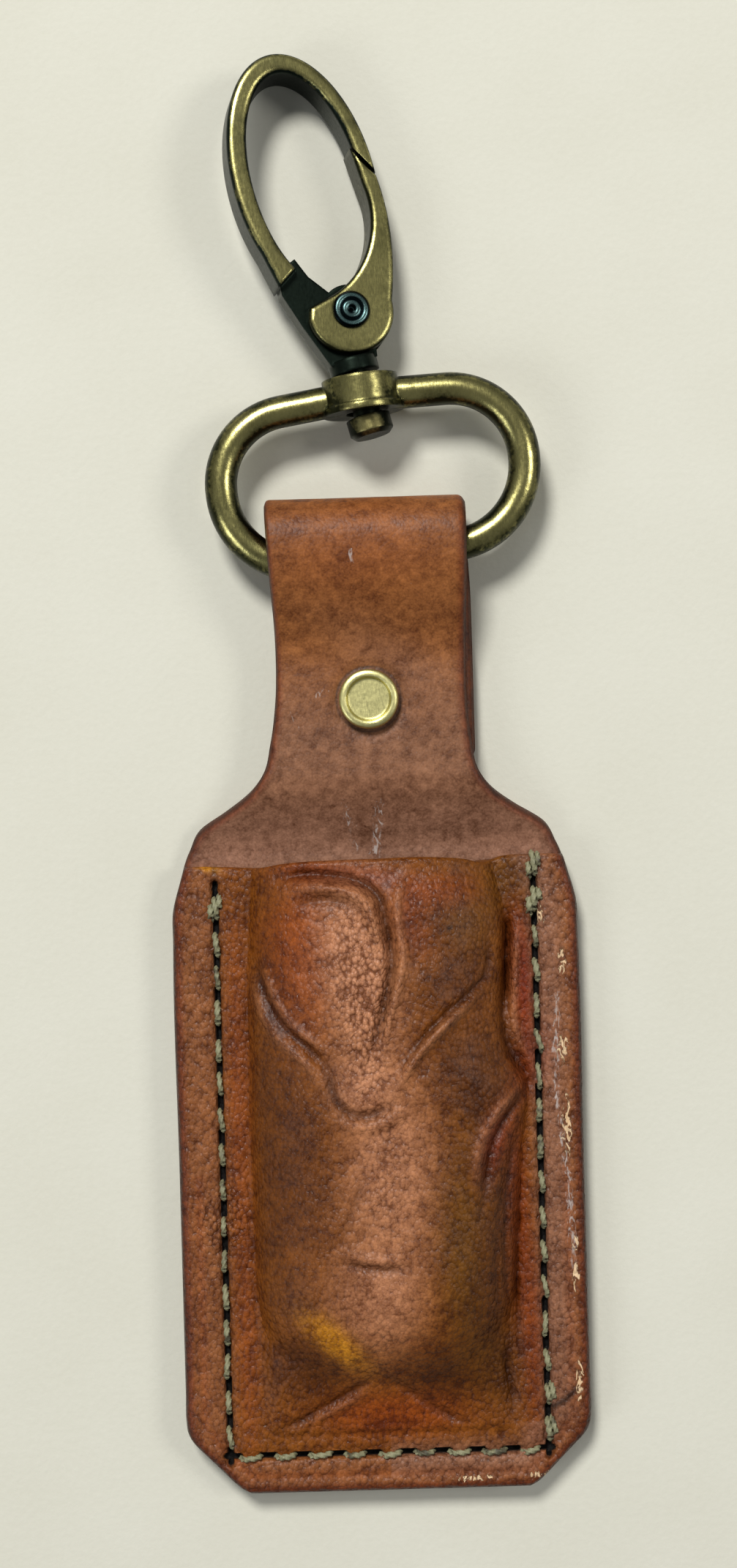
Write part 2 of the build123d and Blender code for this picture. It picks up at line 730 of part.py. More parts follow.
# ---- Gate pivot rivet: a tubular pin with a head at each side ----
head_start = hook_half + gate_pin_clearance
with BuildPart() as gate_pivot_rivet:
    with BuildSketch(raised(hook_frame, -head_start - gate_head_height)):
        with Locations(pivot):
            Circle(gate_head_diameter / 2)
    extrude(amount=gate_head_height)
    with BuildSketch(raised(hook_frame, head_start)):
        with Locations(pivot):
            Circle(gate_head_diameter / 2)
    extrude(amount=gate_head_height)
    heads = gate_pivot_rivet.edges().filter_by(GeomType.CIRCLE)
    heads = heads.sort_by(Axis(hook_frame.origin, hook_frame.z_dir))
    chamfer([heads[0], heads[-1]], gate_head_chamfer)
    with BuildSketch(raised(hook_frame, -head_start)):
        with Locations(pivot):
            Circle(gate_pin_diameter / 2)
    extrude(amount=2 * head_start)
    with BuildSketch(raised(hook_frame, head_start + gate_head_height)):
        with Locations(pivot):
            Circle(gate_head_hole / 2)
    extrude(amount=-gate_head_hole_depth, mode=Mode.SUBTRACT)
gate_pivot_rivet.part.label = "gate_pivot_rivet"
export_step(gate_pivot_rivet.part, "parts/gate_pivot_rivet.step")

# ---- Gate spring: a torsion coil round the pin, with a leg on the web and one on the gate ----
with BuildPart() as gate_spring:
    with BuildSketch(Plane(origin=coil_curve @ 0, z_dir=coil_curve % 0)):
        Circle(spring_wire / 2)
    sweep(path=coil_curve, is_frenet=True)
    for foot, along, length in leg_ends:
        with BuildSketch(Plane(origin=foot, z_dir=along)):
            Circle(spring_wire / 2)
        extrude(amount=length)
gate_spring.part.label = "gate_spring"
export_step(gate_spring.part, "parts/gate_spring.step")
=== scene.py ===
"""Looks of a leather key-fob holster with a swivel snap hook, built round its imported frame."""

import json
import logging
import math
from dataclasses import dataclass, field
from enum import Enum

import bpy
import numpy as np
from mathutils import Matrix, Vector, noise

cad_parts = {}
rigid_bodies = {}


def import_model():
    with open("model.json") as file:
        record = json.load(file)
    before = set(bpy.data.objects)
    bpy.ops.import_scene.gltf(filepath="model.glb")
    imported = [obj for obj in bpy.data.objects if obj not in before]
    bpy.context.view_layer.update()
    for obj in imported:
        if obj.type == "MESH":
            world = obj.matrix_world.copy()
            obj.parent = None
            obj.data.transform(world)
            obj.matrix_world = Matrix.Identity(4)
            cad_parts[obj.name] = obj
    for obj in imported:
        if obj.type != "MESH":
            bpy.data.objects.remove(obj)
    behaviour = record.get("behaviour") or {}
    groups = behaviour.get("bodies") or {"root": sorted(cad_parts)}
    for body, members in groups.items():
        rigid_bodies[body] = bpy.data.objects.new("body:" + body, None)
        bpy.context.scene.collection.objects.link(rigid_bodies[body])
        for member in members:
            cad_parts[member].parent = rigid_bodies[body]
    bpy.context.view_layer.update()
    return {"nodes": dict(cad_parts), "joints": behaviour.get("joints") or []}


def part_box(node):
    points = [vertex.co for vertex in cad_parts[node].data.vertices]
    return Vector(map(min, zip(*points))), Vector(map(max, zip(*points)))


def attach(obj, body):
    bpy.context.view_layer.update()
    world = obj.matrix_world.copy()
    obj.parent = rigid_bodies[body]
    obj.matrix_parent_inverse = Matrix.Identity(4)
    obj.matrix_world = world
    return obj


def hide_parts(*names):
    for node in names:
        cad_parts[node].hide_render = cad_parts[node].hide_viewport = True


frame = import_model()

LOG = logging.getLogger("holster")
MM = 0.001


# ---------------------------------------------------------------- small helpers
def srgb(red: float, green: float, blue: float) -> tuple[float, float, float]:
    """Linear colour of a display colour.

    Args:
        red: Red, from 0 to 255.
        green: Green, from 0 to 255.
        blue: Blue, from 0 to 255.

    Returns:
        The three linear parts, from 0 to 1.
    """
    parts = []
    for value in (red, green, blue):
        share = value / 255
        parts.append(share / 12.92 if share <= 0.04045 else ((share + 0.055) / 1.055) ** 2.4)
    return tuple(parts)


def smooth(low: float, high: float, value: np.ndarray) -> np.ndarray:
    """Smooth step.

    Args:
        low: The value that gives 0.
        high: The value that gives 1; it may be the smaller one.
        value: The values to map.

    Returns:
        Shares from 0 to 1.
    """
    share = np.clip((value - low) / (high - low), 0, 1)
    return share * share * (3 - 2 * share)


def bell(distance: np.ndarray, width: float) -> np.ndarray:
    """Soft band round a line.

    Args:
        distance: Distance of each place from the line.
        width: Half width of the band.

    Returns:
        1 on the line, falling to 0 beyond the band.
    """
    return np.exp(-((distance / width) ** 2))


def curve_through(points: list[tuple[float, float]], at: np.ndarray) -> np.ndarray:
    """Smooth curve through points.

    Args:
        points: The points, sorted by their first value.
        at: First values to read the curve at.

    Returns:
        The curve's second values.
    """
    xs = np.array([p[0] for p in points])
    ys = np.array([p[1] for p in points])
    slopes = np.gradient(ys, xs)
    index = np.clip(np.searchsorted(xs, at) - 1, 0, len(xs) - 2)
    span = xs[index + 1] - xs[index]
    t = np.clip((at - xs[index]) / span, 0, 1)
    start = (2 * t**3 - 3 * t**2 + 1) * ys[index]
    start = start + (t**3 - 2 * t**2 + t) * span * slopes[index]
    end = (-2 * t**3 + 3 * t**2) * ys[index + 1]
    return start + end + (t**3 - t**2) * span * slopes[index + 1]


def stroke_distance(
    x: np.ndarray, y: np.ndarray, points: tuple[tuple[float, float], ...]
) -> tuple[np.ndarray, np.ndarray]:
    """Distance from each place to a drawn stroke.

    Args:
        x: Places across the leather, in millimetres.
        y: Places along the leather, in millimetres.
        points: The stroke's corners, in millimetres.

    Returns:
        The distance, and how far along the stroke its nearest point lies, from 0 to 1.
    """
    fine = rounded_stroke(points)
    starts, ends = fine[:-1], fine[1:]
    lengths = np.linalg.norm(ends - starts, axis=1)
    travelled = np.concatenate([[0], np.cumsum(lengths)])
    best = np.full(x.shape, np.inf)
    along = np.zeros(x.shape)
    for number, (a, b) in enumerate(zip(starts, ends)):
        d = b - a
        t = np.clip(((x - a[0]) * d[0] + (y - a[1]) * d[1]) / (d @ d), 0, 1)
        distance = np.hypot(x - a[0] - t * d[0], y - a[1] - t * d[1])
        closer = distance < best
        best = np.where(closer, distance, best)
        along = np.where(closer, (travelled[number] + t * lengths[number]) / travelled[-1], along)
    return best, along


def rounded_stroke(points: tuple[tuple[float, float], ...]) -> np.ndarray:
    """Cuts a stroke's corners twice, so that it bends as leather does.

    Args:
        points: The stroke's corners.

    Returns:
        The finer stroke, one corner in each row.
    """
    line = np.array(points, float)
    for _ in range(2):
        if len(line) < 3:
            return line
        inner = []
        for a, b in zip(line[:-1], line[1:]):
            inner.extend([a * 0.75 + b * 0.25, a * 0.25 + b * 0.75])
        line = np.array([line[0], *inner[1:-1], line[-1]])
    return line


def leather_noise(x: np.ndarray, y: np.ndarray, size: float, seed: int) -> np.ndarray:
    """Smooth noise over the leather.

    Args:
        x: Places across the leather.
        y: Places along it.
        size: Size of the forms, in the same unit.
        seed: Number of the pattern.

    Returns:
        Values from about -1 to 1.
    """
    turned = np.stack([x * 0.83 + y * 0.56, y * 0.83 - x * 0.56], axis=1) / size
    return np.array([noise.noise((u, v, seed * 3.7)) for u, v in turned])


def bullnose(distance: np.ndarray, radius: float) -> np.ndarray:
    """Section of a rounded edge.

    Args:
        distance: Distance in from the edge.
        radius: Radius of the rounding.

    Returns:
        Share of the full thickness left.
    """
    inside = np.clip(1 - distance / radius, 0, 1)
    return np.sqrt(1 - inside * inside)


# ---------------------------------------------------------------- shader maths
class Sock:
    """A shader socket on which Python's operators add Math nodes."""

    def __init__(self, shader: "Shader", socket: bpy.types.NodeSocket) -> None:
        """Wraps one output socket.

        Args:
            shader: The material that the socket is in.
            socket: The output.
        """
        self.shader = shader
        self.socket = socket

    def _do(self, operation: str, first: object, second: object, clamp: bool = False) -> "Sock":
        """Adds one Math node.

        Args:
            operation: The node's operation.
            first: First value or socket.
            second: Second value or socket.
            clamp: Whether the result is held between 0 and 1.

        Returns:
            The result.
        """
        settings = {"operation": operation, "use_clamp": clamp}
        return self.shader.add("ShaderNodeMath", settings, {0: first, 1: second})

    def __add__(self, other: object) -> "Sock":
        """Returns the sum with other."""
        return self._do("ADD", self, other)

    def __radd__(self, other: object) -> "Sock":
        """Returns the sum of other and this one."""
        return self._do("ADD", other, self)

    def __sub__(self, other: object) -> "Sock":
        """Returns this one less other."""
        return self._do("SUBTRACT", self, other)

    def __rsub__(self, other: object) -> "Sock":
        """Returns other less this one."""
        return self._do("SUBTRACT", other, self)

    def __mul__(self, other: object) -> "Sock":
        """Returns the product with other."""
        return self._do("MULTIPLY", self, other)

    def __rmul__(self, other: object) -> "Sock":
        """Returns the product of other and this one."""
        return self._do("MULTIPLY", other, self)

    def clamp(self) -> "Sock":
        """Returns the value held between 0 and 1."""
        return self._do("ADD", self, 0.0, clamp=True)

    def step(self, low: float, high: float) -> "Sock":
        """Maps the value with soft ends.

        Args:
            low: The value that gives 0.
            high: The value that gives 1.

        Returns:
            The mapped value.
        """
        settings = {"interpolation_type": "SMOOTHSTEP"}
        return self.shader.add("ShaderNodeMapRange", settings, {0: self, 1: low, 2: high})


class Shader:
    """Builds one procedural material."""

    def __init__(self, name: str) -> None:
        """Starts a material with an empty tree and a principled shader.

        Args:
            name: The material's name.
        """
        self.material = bpy.data.materials.new(name)
        self.material.use_nodes = True
        self.tree = self.material.node_tree
        self.tree.nodes.clear()
        self.principled = self.tree.nodes.new("ShaderNodeBsdfPrincipled")
        output = self.tree.nodes.new("ShaderNodeOutputMaterial")
        self.tree.links.new(self.principled.outputs[0], output.inputs[0])
        self.place = self.add("ShaderNodeTexCoord", {}, {}, "Object")

    def add(self, kind: str, settings: dict, inputs: dict, output: object = 0) -> Sock:
        """Adds a node.

        Args:
            kind: The node's type.
            settings: Its own properties, set first.
            inputs: Values or sockets for its inputs, by name or number.
            output: The output to hand back.

        Returns:
            The chosen output, wrapped.
        """
        node = self.tree.nodes.new(kind)
        for key, value in settings.items():
            setattr(node, key, value)
        for key, value in inputs.items():
            self.feed(node.inputs[key], value)
        return Sock(self, node.outputs[output])

    def feed(self, socket: bpy.types.NodeSocket, value: object) -> None:
        """Links or sets one input.

        Args:
            socket: The input.
            value: A wrapped output to link, or a value to set.
        """
        if isinstance(value, Sock):
            self.tree.links.new(value.socket, socket)
        elif isinstance(value, tuple) and len(value) == 3 and socket.type == "RGBA":
            socket.default_value = (*value, 1.0)
        else:
            socket.default_value = value

    def set(self, **inputs: object) -> None:
        """Feeds the principled shader.

        Args:
            **inputs: Values or sockets, by input name with underscores for spaces.
        """
        for key, value in inputs.items():
            self.feed(self.principled.inputs[key.replace("_", " ")], value)

    def stretched(self, scale: tuple[float, float, float], turn: float = 0.0) -> Sock:
        """Stretches and turns the object coordinates.

        Args:
            scale: Factor along each axis.
            turn: Turn about Z, in radians.

        Returns:
            The new coordinates.
        """
        inputs = {"Vector": self.place, "Rotation": (0, 0, turn), "Scale": scale}
        return self.add("ShaderNodeMapping", {}, inputs)

    def noise(self, size_mm: float, detail: float = 3.0, place: Sock | None = None,
              distortion: float = 0.0) -> Sock:
        """Fractal noise.

        Args:
            size_mm: Size of its largest forms.
            detail: How many finer layers it has.
            place: Coordinates, or None for the object's own.
            distortion: How far the forms are pulled about.

        Returns:
            Values from 0 to 1.
        """
        inputs = {
            "Vector": place or self.place,
            "Scale": 1 / (size_mm * MM),
            "Detail": detail,
            "Roughness": 0.55,
            "Distortion": distortion,
        }
        return self.add("ShaderNodeTexNoise", {}, inputs, "Fac")

    def cells(self, size_mm: float, place: Sock | None = None, edge: bool = False) -> Sock:
        """Cell pattern.

        Args:
            size_mm: Size of a cell.
            place: Coordinates, or None for the object's own.
            edge: True for distance to the cell's edge, False for distance to its middle.

        Returns:
            The distance.
        """
        feature = "DISTANCE_TO_EDGE" if edge else "F1"
        inputs = {"Vector": place or self.place, "Scale": 1 / (size_mm * MM)}
        return self.add("ShaderNodeTexVoronoi", {"feature": feature}, inputs, "Distance")

    def attribute(self, name: str, output: str = "Fac") -> Sock:
        """Reads a painted attribute of the piece's own mesh.

        Args:
            name: The attribute's name.
            output: Color for a colour, Fac for a share.

        Returns:
            The attribute.
        """
        return self.add("ShaderNodeAttribute", {"attribute_name": name}, {}, output)

    def dot(self, vector: Sock, axis: tuple[float, float, float]) -> Sock:
        """Measures a vector along an axis.

        Args:
            vector: The vector.
            axis: Direction of the axis, one unit long.

        Returns:
            Its length along the axis.
        """
        settings = {"operation": "DOT_PRODUCT"}
        return self.add("ShaderNodeVectorMath", settings, {0: vector, 1: axis}, "Value")

    def mix(self, share: object, first: object, second: object, how: str = "MIX") -> Sock:
        """Mixes two colours.

        Args:
            share: Share of the second colour.
            first: First colour.
            second: Second colour.
            how: How the second is laid over the first.

        Returns:
            The mixed colour.
        """
        settings = {"data_type": "RGBA", "blend_type": how}
        return self.add("ShaderNodeMix", settings, {0: share, 6: first, 7: second}, 2)

    def bump(self, height: Sock, depth_mm: float, strength: float = 1.0,
             under: Sock | None = None) -> Sock:
        """Turns a fine relief into a normal.

        Args:
            height: The relief, where 1 stands for the full depth.
            depth_mm: Its full depth.
            strength: How much of it shows.
            under: A normal to lay it over, or None.

        Returns:
            The normal.
        """
        inputs = {"Height": height, "Distance": depth_mm * MM, "Strength": strength}
        if under is not None:
            inputs["Normal"] = under
        return self.add("ShaderNodeBump", {}, inputs, "Normal")


# ---------------------------------------------------------------- finishes
@dataclass(frozen=True)
class LeatherFinish:
    """Waxed leather whose colour is painted on its mesh.

    Attributes:
        name: The material's name.
        grain_mm: Size of the pebbled grain.
        grain_depth: Depth of that grain, in millimetres.
        roughness: Middle roughness.
        coat: Weight of the wax coat.
        gloss: Strength of the plain reflection.
    """

    name: str
    grain_mm: float = 0.55
    grain_depth: float = 0.05
    roughness: float = 0.44
    coat: float = 0.12
    gloss: float = 0.3

    def build(self) -> bpy.types.Material:
        """Makes the material.

        Returns:
            The finished material.
        """
        s = Shader(self.name)
        paint = s.attribute("paint", "Color")
        pebble = s.attribute("pebble")
        chip = s.attribute("chip")
        scuff_and_sheen = s.attribute("scuff_and_sheen")
        slit = s.attribute("slit")
        broad = s.noise(5.5, 4.0)
        mottle = s.noise(1.3, 5.0, distortion=0.5)
        fine = s.noise(0.24, 3.0)
        grain = s.cells(self.grain_mm, s.stretched((1.0, 0.8, 1.0)))
        bead = 1 - grain * grain * 2.2
        shaken = s.add("ShaderNodeTexNoise", {}, {"Vector": s.place, "Scale": 420.0}, "Color")
        inputs = {0: shaken, 1: (0.0022, 0.0022, 0.0), 2: s.stretched((1.2, 0.62, 1.0), 0.3)}
        bent = s.add("ShaderNodeVectorMath", {"operation": "MULTIPLY_ADD"}, inputs, "Vector")
        furrow = s.cells(self.grain_mm * 2.6, bent, edge=True)
        cut = (1 - furrow.step(0.0, 0.08)) * pebble
        tone = (broad - 0.5) * 1.0 + (mottle - 0.5) * 1.3 + (fine - 0.5) * 0.9
        tone = tone + (bead - 0.6) * pebble * 0.5 - cut * 0.22
        factor = s.mix((0.48 + tone * 1.15).clamp(), (0.42, 0.33, 0.26), (1.42, 1.46, 1.46))
        colour = s.mix(1.0, paint, factor, "MULTIPLY")
        flakes = s.noise(0.9, 6.0, s.stretched((1.25, 0.6, 1.0), 0.35), 1.4)
        bare = (flakes + chip * 0.58).step(0.94, 1.0)
        raw = s.mix(s.noise(0.4, 3.0), srgb(190, 140, 84), srgb(238, 216, 182))
        colour = s.mix(bare, colour, raw)
        # Scuffs, and the painted highlight laid in the same mask, turn pale grey and rougher.
        scratches = s.noise(0.8, 6.0, s.stretched((1.7, 0.5, 1.0), -0.15), 1.4)
        rubbed_and_sheen = (scratches + scuff_and_sheen * 0.42).step(0.8, 0.98)
        colour = s.mix(rubbed_and_sheen * 0.7, colour, srgb(186, 176, 170))
        colour = s.mix(slit.step(0.25, 0.75), colour, srgb(12, 9, 8))
        wrinkle = s.noise(self.grain_mm * 2.4, 5.0, s.stretched((1.3, 0.7, 1.0)), 0.7)
        pores = s.noise(0.14, 2.0)
        relief = bead * (0.18 + pebble * 0.9) + wrinkle * (0.7 + pebble * 0.9) + pores * 0.22
        relief = relief - cut * 0.35 - bare * 0.9
        normal = s.bump(relief, self.grain_depth, 0.9)
        rough = self.roughness + (mottle - 0.5) * 0.3 + (pores - 0.5) * 0.2 - pebble * 0.06
        rough = rough + bare * 0.25 + rubbed_and_sheen * 0.12 + slit * 0.4
        s.set(Base_Color=colour, Roughness=rough.clamp(), Normal=normal)
        s.set(Coat_Weight=self.coat, Coat_Roughness=0.3, Specular_IOR_Level=self.gloss)
        return s.material


@dataclass(frozen=True)
class ThreadFinish:
    """Waxed, twisted thread.

    Attributes:
        name: The material's name.
    """

    name: str = "waxed_thread"

    def build(self) -> bpy.types.Material:
        """Makes the material.

        Returns:
            The finished material.
        """
        s = Shader(self.name)
        soiled = s.noise(1.7, 4.0)
        fibre = s.noise(0.09, 2.0)
        clean = s.mix(fibre, srgb(92, 90, 64), srgb(168, 166, 130))
        colour = s.mix(soiled.step(0.5, 0.7) * 0.85, clean, srgb(48, 40, 28))
        s.set(Base_Color=colour, Roughness=0.6)
        s.set(Normal=s.bump(fibre, 0.03, 0.7))
        return s.material


@dataclass(frozen=True)
class BrassFinish:
    """Brass with a dark patina in its recesses, painted shade on its flanks and below given
    levels, and worn faces.

    Attributes:
        name: The material's name.
        bright: Colour of the worn metal.
        patina: Colour of the dark layer.
        cover: Share of the surface that the dark layer takes, from 0 to 1.
        roughness: Middle roughness.
        flank_shade: How much painted shade the flanks get, from 0 to 1.
        recess_mm: How near a wall must be for a place to count as a recess.
        axis: Direction out of the worn face, which stays bright; faces turned away from it get
            painted shade.
        shaded_levels: Directions, each with the level in metres under which the metal gets
            painted shade.
    """

    name: str
    bright: tuple[float, float, float]
    patina: tuple[float, float, float]
    cover: float
    roughness: float
    flank_shade: float = 0.9
    recess_mm: float = 1.6
    axis: tuple[float, float, float] = (0.0, 0.0, 1.0)
    shaded_levels: tuple[tuple[tuple[float, float, float], float], ...] = ()

    def build(self) -> bpy.types.Material:
        """Makes the material.

        Returns:
            The finished material.
        """
        s = Shader(self.name)
        clouds = s.noise(3.6, 5.0, distortion=0.3)
        specks = s.noise(0.4, 4.0)
        settings, inputs = {"samples": 8, "only_local": False}, {"Distance": self.recess_mm * MM}
        shut = s.add("ShaderNodeAmbientOcclusion", settings, inputs, "AO")
        recess = (1 - shut).step(0.16, 0.5)
        out = s.add("ShaderNodeTexCoord", {}, {}, "Normal")
        facing = s.dot(out, self.axis)
        # Faces turned away from the axis get painted shade on the flanks; those along it stay
        # bright.
        side = 1 - (facing * facing).step(0.3, 0.92)
        worn = clouds * 0.75 + specks * 0.35
        dark = (worn + self.cover - 0.55).step(0.3, 0.7) * 0.75
        # The dark share gathers the patina, the painted shade on the flanks and the patina in the
        # recesses.
        dark = dark + side * self.flank_shade * (0.6 + worn * 0.6) + recess
        # Below each given level the metal gets painted shade, where it lies under another part.
        for direction, level in self.shaded_levels:
            depth = s.dot(s.place, direction)
            dark = dark + (1 - depth.step(level - 0.0003, level + 0.0002))
        dark = dark.clamp()
        colour = s.mix(dark, self.bright, self.patina)
        hairs = s.noise(0.25, 3.0, s.stretched((2.2, 0.35, 1.0), 0.5))
        pits = s.cells(0.7)
        rough = self.roughness + dark * 0.12 + (hairs - 0.5) * 0.2 + (specks - 0.5) * 0.16
        s.set(Base_Color=colour, Roughness=rough.clamp(), Metallic=1.0)
        dents = s.noise(2.2, 2.0)
        settings = {"samples": 6}
        eased = s.add("ShaderNodeBevel", settings, {"Radius": 0.45 * MM}, "Normal")
        relief = specks * 0.5 + hairs * 0.3 + pits * 0.2 + dents * 2.0
        s.set(Normal=s.bump(relief, 0.03, 0.6, eased))
        return s.material


@dataclass(frozen=True)
class SteelFinish:
    """Blackened or drawn steel.

    Attributes:
        name: The material's name.
        bright: Colour of its worn places.
        dark: Colour of the rest.
        roughness: Middle roughness.
        rings: Middle of a turned head in metres, or None for a plain surface.
        ring_mm: From one ring of the turned head to the next.
    """

    name: str
    bright: tuple[float, float, float]
    dark: tuple[float, float, float]
    roughness: float
    rings: tuple[float, float, float] | None = None
    ring_mm: float = 0.85

    def build(self) -> bpy.types.Material:
        """Makes the material.

        Returns:
            The finished material.
        """
        s = Shader(self.name)
        clouds = s.noise(0.8, 4.0)
        fine = s.noise(0.15, 3.0)
        share = clouds.step(0.4, 0.65)
        relief = fine * 0.3
        if self.rings is not None:
            settings = {"operation": "DISTANCE"}
            inputs = {0: s.place, 1: self.rings}
            away = s.add("ShaderNodeVectorMath", settings, inputs, "Value")
            turns = {0: away * (math.tau / (self.ring_mm * MM))}
            wave = s.add("ShaderNodeMath", {"operation": "COSINE"}, turns)
            share = (wave * 0.5 + 0.5).step(0.35, 0.9) * (0.35 + clouds)
            relief = relief + wave * 1.2
        colour = s.mix(share.clamp(), self.dark, self.bright)
        s.set(Base_Color=colour, Metallic=1.0)
        s.set(Roughness=(self.roughness + (fine - 0.5) * 0.25).clamp())
        s.set(Normal=s.bump(relief, 0.04, 0.8))
        return s.material


@dataclass(frozen=True)
class FloorFinish:
    """Plain pale surface with a very faint nap.

    Attributes:
        name: The material's name.
    """

    name: str = "pale_floor"

    def build(self) -> bpy.types.Material:
        """Makes the material.

        Returns:
            The finished material.
        """
        s = Shader(self.name)
        broad = s.noise(26.0, 3.0)
        nap = s.noise(0.8, 3.0)
        colour = s.mix(broad, srgb(202, 200, 184), srgb(214, 213, 200))
        colour = s.mix(nap * 0.25, colour, srgb(228, 227, 216))
        s.set(Base_Color=colour, Roughness=0.85)
        s.set(Normal=s.bump(nap, 0.12, 0.35))
        return s.material


# ---------------------------------------------------------------- leather painting
class Tint(Enum):
    """Colours painted on the leather, as display colours: dyes, and painted light and shade where
    noted.
    """

    STRAP = srgb(138, 84, 42)
    NECK = srgb(126, 86, 62)
    BORDER = srgb(132, 80, 44)
    TAN = srgb(120, 66, 14)
    ORANGE = srgb(142, 62, 10)
    AMBER = srgb(196, 130, 24)
    RED = srgb(126, 40, 14)
    OLIVE = srgb(94, 58, 8)
    UMBER = srgb(84, 42, 4)
    # Pale pink: painted highlight, the sheen along the bulge's middle ridge.
    ROSE_SHEEN = srgb(190, 132, 98)
    EDGE = srgb(104, 48, 20)
    RUST = srgb(142, 70, 26)
    BLACK = srgb(24, 14, 10)
    # Light plum: partly the shoulder's own tone, partly painted light on its slope.
    PLUM = srgb(142, 104, 86)
    # Pale clay: partly burnish wear on the ridges, partly painted highlight on them.
    CLAY = srgb(168, 112, 76)
    # Near-black brown: painted shade in the creases' grooves.
    GROOVE_SHADE = srgb(58, 26, 8)


@dataclass(frozen=True)
class Crease:
    """A fold or ridge drawn on the leather.

    Attributes:
        points: Its line, in millimetres from the pouch's middle.
        height: Height of the relief in millimetres, negative for a groove.
        width: Half width of the relief, in millimetres.
        ends: How much of each end fades out, as a share of the length.
    """

    points: tuple[tuple[float, float], ...]
    height: float
    width: float
    ends: float = 0.22


@dataclass(frozen=True)
class Patch:
    """A soft patch of dye or of wear.

    Attributes:
        centre: Its middle, in millimetres.
        reach: Its half sizes along its own axes.
        turn: Its turn, anticlockwise in degrees.
        tint: The colour, or None where the patch only sets a strength.
        strength: How much of it shows, from 0 to 1.
    """

    centre: tuple[float, float]
    reach: tuple[float, float]
    turn: float
    tint: Tint | None
    strength: float

    def cover(self, x: np.ndarray, y: np.ndarray) -> np.ndarray:
        """Measures how much the patch covers each place.

        Args:
            x: Places across the leather, in millimetres.
            y: Places along it.

        Returns:
            Shares from 0 to the patch's strength.
        """
        angle = math.radians(self.turn)
        dx, dy = x - self.centre[0], y - self.centre[1]
        u = (dx * math.cos(angle) + dy * math.sin(angle)) / self.reach[0]
        v = (dy * math.cos(angle) - dx * math.sin(angle)) / self.reach[1]
        return self.strength * np.exp(-((u * u + v * v) ** 1.3))


class Canvas:
    """Colours and masks being painted on one sheet of leather."""

    def __init__(self, x: np.ndarray, y: np.ndarray, base: Tint) -> None:
        """Starts with one dye all over.

        Args:
            x: Places across the leather, in millimetres.
            y: Places along it.
            base: The first dye.
        """
        self.x, self.y = x, y
        self.colour = np.tile(np.array(base.value), (len(x), 1))
        self.masks = {name: np.zeros(len(x)) for name in ("pebble", "chip", "scuff_and_sheen", "slit")}

    def dye(self, tint: Tint, share: np.ndarray) -> None:
        """Mixes in a colour: dyes, and painted light and shade.

        Args:
            tint: The colour.
            share: How much of it each place takes, from 0 to 1.
        """
        share = np.clip(share, 0, 1)[:, None]
        self.colour = self.colour * (1 - share) + np.array(tint.value) * share

    def patch(self, patch: Patch) -> None:
        """Paints one soft patch of colour.

        Args:
            patch: The patch.
        """
        self.dye(patch.tint, patch.cover(self.x, self.y))

    def mark(self, name: str, share: np.ndarray) -> None:
        """Raises one mask where it is lower.

        Args:
            name: The mask's name.
            share: The mask's new values.
        """
        self.masks[name] = np.maximum(self.masks[name], share)

    def store(self, mesh: bpy.types.Mesh) -> None:
        """Writes the colours and masks to a mesh.

        Args:
            mesh: A mesh with one vertex for each place.
        """
        paint = mesh.attributes.new("paint", "FLOAT_COLOR", "POINT")
        flat = np.concatenate([self.colour, np.ones((len(self.x), 1))], axis=1)
        paint.data.foreach_set("color", flat.astype(np.float32).ravel())
        for name, values in self.masks.items():
            layer = mesh.attributes.new(name, "FLOAT", "POINT")
            layer.data.foreach_set("value", np.clip(values, 0, 1).astype(np.float32))


# ---------------------------------------------------------------- modelling helpers
def clear_selection() -> None:
    """Deselects every object."""
    for one in bpy.context.scene.objects:
        one.select_set(False)


def take(piece: bpy.types.Object) -> None:
    """Makes one object the selected and active one.

    Args:
        piece: The object.
    """
    clear_selection()
    piece.select_set(True)
    bpy.context.view_layer.objects.active = piece


def settle(piece: bpy.types.Object, smooth_angle: float) -> None:
    """Puts an object's place into its mesh and smooths its shading.

    Args:
        piece: The object.
        smooth_angle: Edges sharper than this stay sharp, in degrees.
    """
    take(piece)
    bpy.ops.object.transform_apply(location=True, rotation=True, scale=True)
    bpy.ops.object.shade_smooth_by_angle(angle=math.radians(smooth_angle))


def apply_modifier(piece: bpy.types.Object, kind: str, **settings: object) -> None:
    """Adds one modifier and applies it.

    Args:
        piece: The object.
        kind: The modifier's type.
        **settings: Its settings.
    """
    take(piece)
    modifier = piece.modifiers.new(kind.lower(), kind)
    for key, value in settings.items():
        setattr(modifier, key, value)
    bpy.ops.object.modifier_apply(modifier=modifier.name)


def grid_sheet(name: str, columns: int, rows: int) -> bpy.types.Object:
    """Adds a flat grid two units across, to be shaped into a sheet.

    Args:
        name: The object's name.
        columns: Cells across.
        rows: Cells along.

    Returns:
        The grid.
    """
    clear_selection()
    bpy.ops.mesh.primitive_grid_add(x_subdivisions=columns, y_subdivisions=rows, size=2.0)
    piece = bpy.context.active_object
    piece.name = name
    piece.data.name = name
    return piece


def read_places(piece: bpy.types.Object) -> np.ndarray:
    """Reads the vertices of a mesh.

    Args:
        piece: The object.

    Returns:
        Their places in metres, one in each row.
    """
    flat = np.zeros(len(piece.data.vertices) * 3, np.float32)
    piece.data.vertices.foreach_get("co", flat)
    return flat.reshape(-1, 3).astype(float)


def write_places(piece: bpy.types.Object, places: np.ndarray) -> None:
    """Moves the vertices of a mesh.

    Args:
        piece: The object.
        places: Their new places in metres, one in each row.
    """
    piece.data.vertices.foreach_set("co", places.astype(np.float32).ravel())
    piece.data.update()


